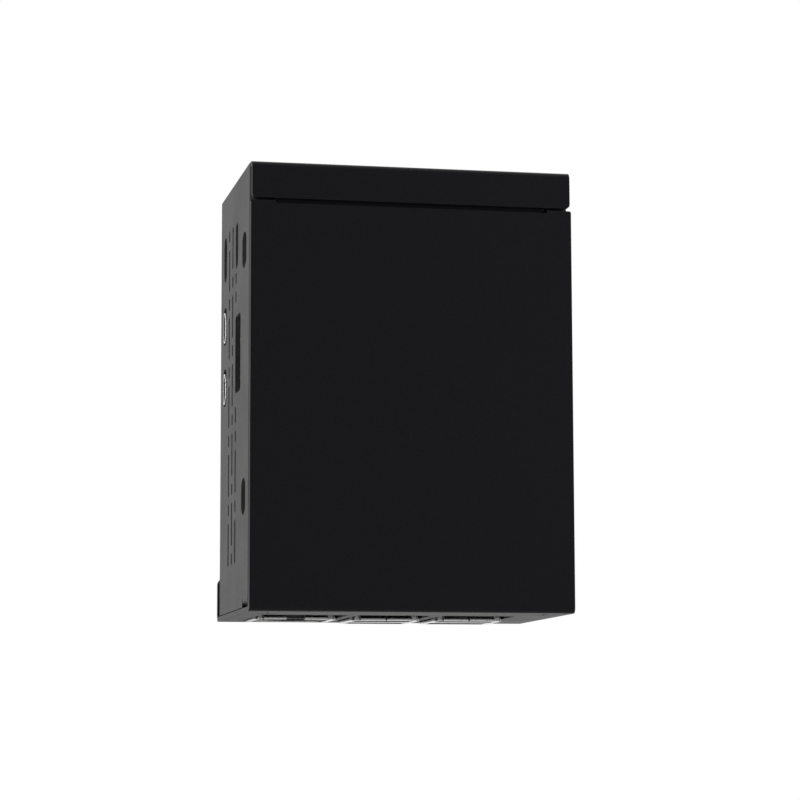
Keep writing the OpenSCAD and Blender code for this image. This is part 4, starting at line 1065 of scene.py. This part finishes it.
@dataclass(frozen=True)
class SpringFingers(Trim):
    """Bowed contact fingers in the two plug openings of a double port, in metres.

    Attributes:
        port: The port's name in the CAD, without its last word.
        width: A finger's width.
        thickness: A finger's thickness.
        start: How far behind the mouth a finger leaves the shell.
        length: A finger's length into the port.
        bow: How far a finger bows into the opening.
        crest: Where the bow's crest lies: 1 is the middle, less is nearer the foot.
        tip: How far its free end stands off the shell.
        steps: The number of steps along a finger.
        side: How far each finger stands from the opening's middle.
        openings: The number of plug openings.
        pitch: From one opening to the next.
        fit: From the moulded tongues' block to the shell.
        sideways: From which sideways share of its normal a face stays flat.
    """

    port: str
    width: float = 2.2 * MM
    thickness: float = 0.22 * MM
    start: float = 1.6 * MM
    length: float = 6.4 * MM
    bow: float = 0.55 * MM
    crest: float = 0.8
    tip: float = 0.16 * MM
    steps: int = 18
    side: float = 3.0 * MM
    openings: int = 2
    pitch: float = 8.2 * MM
    fit: float = 0.1 * MM
    sideways: float = 0.5

    def build(self, wardrobe: Wardrobe) -> bpy.types.Object:
        """Makes the fingers of all openings as one object.

        Args:
            wardrobe: Where the finish comes from.

        Returns:
            The new object, which rides on the case.
        """
        low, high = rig.box(f"{self.port}_insert")
        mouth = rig.box(f"{self.port}_shell")[0].z
        work = bmesh.new()
        for opening in range(self.openings):
            wall = low.y - self.fit + opening * self.pitch
            for side in (-self.side, self.side):
                self.finger(work, Vector(((low.x + high.x) / 2 + side, wall, mouth)))
        item = self.add(work, f"{self.port}_fingers", Slot.PORT_STEEL, wardrobe)
        for face in item.data.polygons:
            face.use_smooth = abs(face.normal.x) < self.sideways
        return item

    def line(self) -> list[tuple[float, float]]:
        """Lists the finger's lower line.

        Returns:
            Pairs of standing off the shell and going into the port.
        """
        points = []
        for i in range(self.steps + 1):
            t = i / self.steps
            rise = math.sin(math.pi * t ** self.crest) ** 2 * self.bow + self.tip * t
            points.append((rise, self.start + t * self.length))
        return points

    def finger(self, work: bmesh.types.BMesh, foot: Vector) -> None:
        """Adds one finger.

        Args:
            work: The mesh to add to.
            foot: The middle of the finger on the shell's inner face, at the mouth.
        """
        half = self.width / 2
        rings = []
        for low, depth in self.line():
            high = low + self.thickness
            corners = ((-half, low), (half, low), (half, high), (-half, high))
            rings.append([work.verts.new(foot + Vector((x, y, depth))) for x, y in corners])
        self.skin(work, rings)


@dataclass(frozen=True)
class LatchSpring(Trim):
    """Coil spring between the bracket's post and the latch's window, in metres.

    Attributes:
        name: The spring's name.
        node: The CAD node that it stands for.
        wire: The wire's diameter.
        turns: The number of turns.
        closed: How much of a turn lies flat at each end.
        ease: Over how much of a turn the pitch opens.
        steps: The number of steps in a turn.
        sides: The number of sides round the wire.
    """

    name: str = "latch_coil"
    node: str = "latch_spring"
    wire: float = 0.45 * MM
    turns: int = 9
    closed: float = 0.75
    ease: float = 0.5
    steps: int = 40
    sides: int = 12

    def build(self, wardrobe: Wardrobe) -> bpy.types.Object:
        """Makes the spring in its node's box and lets it shorten as the latch slides.

        Args:
            wardrobe: Where the finish comes from.

        Returns:
            The new object, which rides on the case.
        """
        low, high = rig.box(self.node)
        foot = Vector(((low.x + high.x) / 2, (low.y + high.y) / 2, low.z))
        radius = (high.x - low.x - self.wire) / 2
        length = high.z - low.z
        work = bmesh.new()
        heights = enumerate(self.rises(length))
        self.skin(work, [self.ring(work, foot, radius, step, rise) for step, rise in heights])
        item = self.add(work, self.name, Slot.SPRING_STEEL, wardrobe)
        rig.replaces(item, self.node)
        keep = (length - self.travel(wardrobe.frame)) / length
        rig.squash(item, Joint.LATCH_SLIDE.value, axis=(0.0, 0.0, 1.0), anchor=tuple(foot), keep=keep)
        LOG.info("%s keeps %.2f of its length", self.name, keep)
        return item

    def travel(self, frame: dict) -> float:
        """Returns how far the record lets the latch slide, in metres."""
        joints = {joint["name"]: joint for joint in frame["record"]["behaviour"]["joints"]}
        return joints[Joint.LATCH_SLIDE.value]["range_m"][1]

    def rises(self, length: float) -> list[float]:
        """Lists how high the wire's middle line stands at each step.

        Args:
            length: The spring's whole length.

        Returns:
            One height for each step, from the spring's foot.
        """
        count = self.turns * self.steps
        open_pitch = []
        for i in range(count):
            turn = (i + 0.5) / self.steps
            t = min(max((min(turn, self.turns - turn) - self.closed) / self.ease, 0.0), 1.0)
            open_pitch.append(t * t * (3.0 - 2.0 * t))
        flat_step = self.wire / self.steps
        spare = (length - self.wire - flat_step * count) / sum(open_pitch)
        heights = [self.wire / 2]
        for share in open_pitch:
            heights.append(heights[-1] + flat_step + spare * share)
        return heights

    def ring(self, work: bmesh.types.BMesh, foot: Vector, radius: float, step: int, rise: float) -> Ring:
        """Adds one ring of points round the wire.

        Args:
            work: The mesh to add to.
            foot: The middle of the spring's lower end.
            radius: The middle line's radius.
            step: The number of the step along the wire.
            rise: How high the middle line stands there.

        Returns:
            The ring's points.
        """
        turn = math.tau * step / self.steps
        points = []
        for k in range(self.sides):
            round_wire = math.tau * k / self.sides
            out = radius + self.wire / 2 * math.cos(round_wire)
            up = rise + self.wire / 2 * math.sin(round_wire)
            place = Vector((out * math.cos(turn), out * math.sin(turn), up))
            points.append(work.verts.new(foot + place))
        return points


@dataclass(frozen=True)
class PhotoCamera:
    """Where the photograph was taken, fitted to the case's own edges.

    Attributes:
        place: The camera's place in the part's frame, in metres.
        focal: The focal length in pixels of the photograph.
        yaw: Turn to the right of straight ahead, in degrees.
        pitch: Tilt up, in degrees.
        roll: Turn about the line of sight, in degrees.
        near: From where the camera sees, in metres.
        far: Up to where it sees, in metres.
    """

    place: Point = (-0.11008, -0.55716, -0.02653)
    focal: float = 2674.0
    yaw: float = 11.443
    pitch: float = 7.402
    roll: float = 0.152
    near: float = 0.01
    far: float = 100.0

    def build(self) -> bpy.types.Object:
        """Makes the camera and hands it to the scene.

        Returns:
            The camera.
        """
        data = bpy.data.cameras.new("photo_camera")
        data.sensor_width = SENSOR_WIDTH
        data.lens = self.focal * SENSOR_WIDTH / IMAGE_SIZE
        data.clip_start = self.near
        data.clip_end = self.far
        camera = bpy.data.objects.new("photo_camera", data)
        yaw, pitch, roll = (math.radians(angle) for angle in (self.yaw, self.pitch, self.roll))
        level = math.cos(pitch)
        ahead = Vector((math.sin(yaw) * level, math.cos(yaw) * level, math.sin(pitch)))
        turn = ahead.to_track_quat("-Z", "Y").to_matrix().to_4x4()
        camera.matrix_world = Matrix.Translation(self.place) @ turn @ Matrix.Rotation(-roll, 4, "Z")
        bpy.context.scene.collection.objects.link(camera)
        bpy.context.scene.camera = camera
        return camera


@dataclass(frozen=True)
class SoftBox:
    """One soft studio lamp.

    Attributes:
        name: The lamp's name.
        place: Where it stands, in metres.
        size: The side of its square, in metres.
        power: Its power in watts.
        target: The point that it faces, the part's middle.
    """

    name: str
    place: Point
    size: float
    power: float
    target: Point = (0.0, 0.0, 0.046)

    def build(self) -> bpy.types.Object:
        """Makes the lamp and turns it to its target.

        Returns:
            The lamp.
        """
        data = bpy.data.lights.new(self.name, "AREA")
        data.shape = "SQUARE"
        data.size = self.size
        data.energy = self.power
        lamp = bpy.data.objects.new(self.name, data)
        lamp.location = self.place
        lamp.rotation_mode = "QUATERNION"
        lamp.rotation_quaternion = (Vector(self.target) - Vector(self.place)).to_track_quat("-Z", "Y")
        bpy.context.scene.collection.objects.link(lamp)
        return lamp


@dataclass(frozen=True)
class Studio:
    """White surroundings, soft lamps, a pale floor and the camera.

    Attributes:
        fill: The world's level as light.
        shade: The world's level in mirrors that face the camera's side.
        fade: Where along Y that level grows to white.
        floor_z: The floor's height, in metres.
        floor_size: The floor's width, in metres.
        floor_tones: The two colours of the floor's mottle, linear.
        floor_mottle: The mottle's scale, per metre.
        floor_roughness: The floor's roughness.
        floor_specular: The floor's specular level.
        lamps: The soft lamps.
    """

    fill: float = 0.45
    shade: float = 0.8
    fade: Span = (-0.6, 0.3)
    floor_z: float = -0.3
    floor_size: float = 12.0
    floor_tones: tuple[Colour, Colour] = ((0.86, 0.86, 0.86), (0.9, 0.9, 0.9))
    floor_mottle: float = 14.0
    floor_roughness: float = 0.8
    floor_specular: float = 0.1
    lamps: tuple[SoftBox, ...] = (
        SoftBox("key", place=(0.95, -0.65, 0.25), size=0.5, power=9.0),
        SoftBox("left", place=(-1.0, -0.1, 0.35), size=0.6, power=6.0),
        SoftBox("top", place=(0.0, 0.3, 1.1), size=1.6, power=4.0),
        SoftBox("rear", place=(0.62, 1.0, 0.4), size=1.2, power=2.5),
    )

    def build(self) -> None:
        """Makes everything round the part."""
        bpy.context.scene.view_settings.view_transform = "Standard"
        self.surround()
        self.floor()
        for stand in (*self.lamps, PhotoCamera()):
            LOG.info("%s stands in the studio", stand.build().name)

    def surround(self) -> None:
        """Makes the world: white to look at and in mirrors, dimmer as light."""
        world = bpy.data.worlds.new("studio")
        world.use_nodes = True
        bpy.context.scene.world = world
        graph = NodeGraph(world.node_tree)
        path = graph.add("ShaderNodeLightPath").outputs
        direction = graph.add("ShaderNodeTexCoord").outputs["Generated"]
        seen = graph.remap(graph.split(direction)["Y"], self.fade, (self.shade, 1.0), smooth=True)
        mirrored = graph.math("MAXIMUM", path["Is Glossy Ray"], path["Is Transmission Ray"])
        level = graph.math("ADD", graph.scale(mirrored, seen), graph.scale(graph.rest(mirrored), self.fill))
        sky = graph.add("ShaderNodeBackground")
        graph.feed(sky.inputs["Strength"], graph.math("MAXIMUM", level, path["Is Camera Ray"]))
        sky.inputs["Color"].default_value = WHITE
        out = graph.add("ShaderNodeOutputWorld")
        graph.feed(out.inputs["Surface"], sky.outputs["Background"])

    def floor(self) -> None:
        """Makes the pale floor, which keeps the part's shadow."""
        half = self.floor_size / 2
        mesh = bpy.data.meshes.new("floor")
        corners = [(x * half, y * half, self.floor_z) for x, y in ((-1, -1), (1, -1), (1, 1), (-1, 1))]
        mesh.from_pydata(corners, [], [(0, 1, 2, 3)])
        floor = bpy.data.objects.new("floor", mesh)
        bpy.context.scene.collection.objects.link(floor)
        material = bpy.data.materials.new("floor")
        material.use_nodes = True
        graph = NodeGraph(material.node_tree)
        shader = graph.add("ShaderNodeBsdfPrincipled")
        shader.inputs["Roughness"].default_value = self.floor_roughness
        shader.inputs["Specular IOR Level"].default_value = self.floor_specular
        mottle = graph.noise(graph.place(), self.floor_mottle, detail=3.0)
        graph.feed(shader.inputs["Base Color"], graph.blend(mottle, *self.floor_tones))
        out = graph.add("ShaderNodeOutputMaterial")
        graph.feed(out.inputs["Surface"], shader.outputs["BSDF"])
        mesh.materials.append(material)
        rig.stage(floor)


class SizeNote:
    """Keeps the CAD box and writes it beside the dressed part's box."""

    def __init__(self) -> None:
        """Reads the box straight after loading."""
        self.cad = self.read()

    @staticmethod
    def read() -> list[list[float]]:
        """Returns the shown part's lowest and highest corner as plain lists."""
        return [[float(v) for v in corner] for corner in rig.bounds()]

    def write(self, path: Path) -> None:
        """Writes both boxes to that file."""
        path.write_text(json.dumps({"cad": self.cad, "visual": self.read()}, indent=1))


def clear_scene() -> None:
    """Removes what Blender starts with."""
    for item in list(bpy.data.objects):
        bpy.data.objects.remove(item)


def main() -> None:
    """Builds the whole scene and reports each piece."""
    logging.basicConfig(level=logging.INFO, format="%(name)s: %(message)s")
    clear_scene()
    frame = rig.load()
    sizes = SizeNote()
    wardrobe = Wardrobe(frame)
    wardrobe.dress_nodes()
    for piece in (SpringFingers("usb_left"), SpringFingers("usb_right"), LatchSpring()):
        item = piece.build(wardrobe)
        LOG.info("%s made with %d faces", item.name, len(item.data.polygons))
    Studio().build()
    sizes.write(SIZE_FILE)


if __name__ == "__main__":
    main()
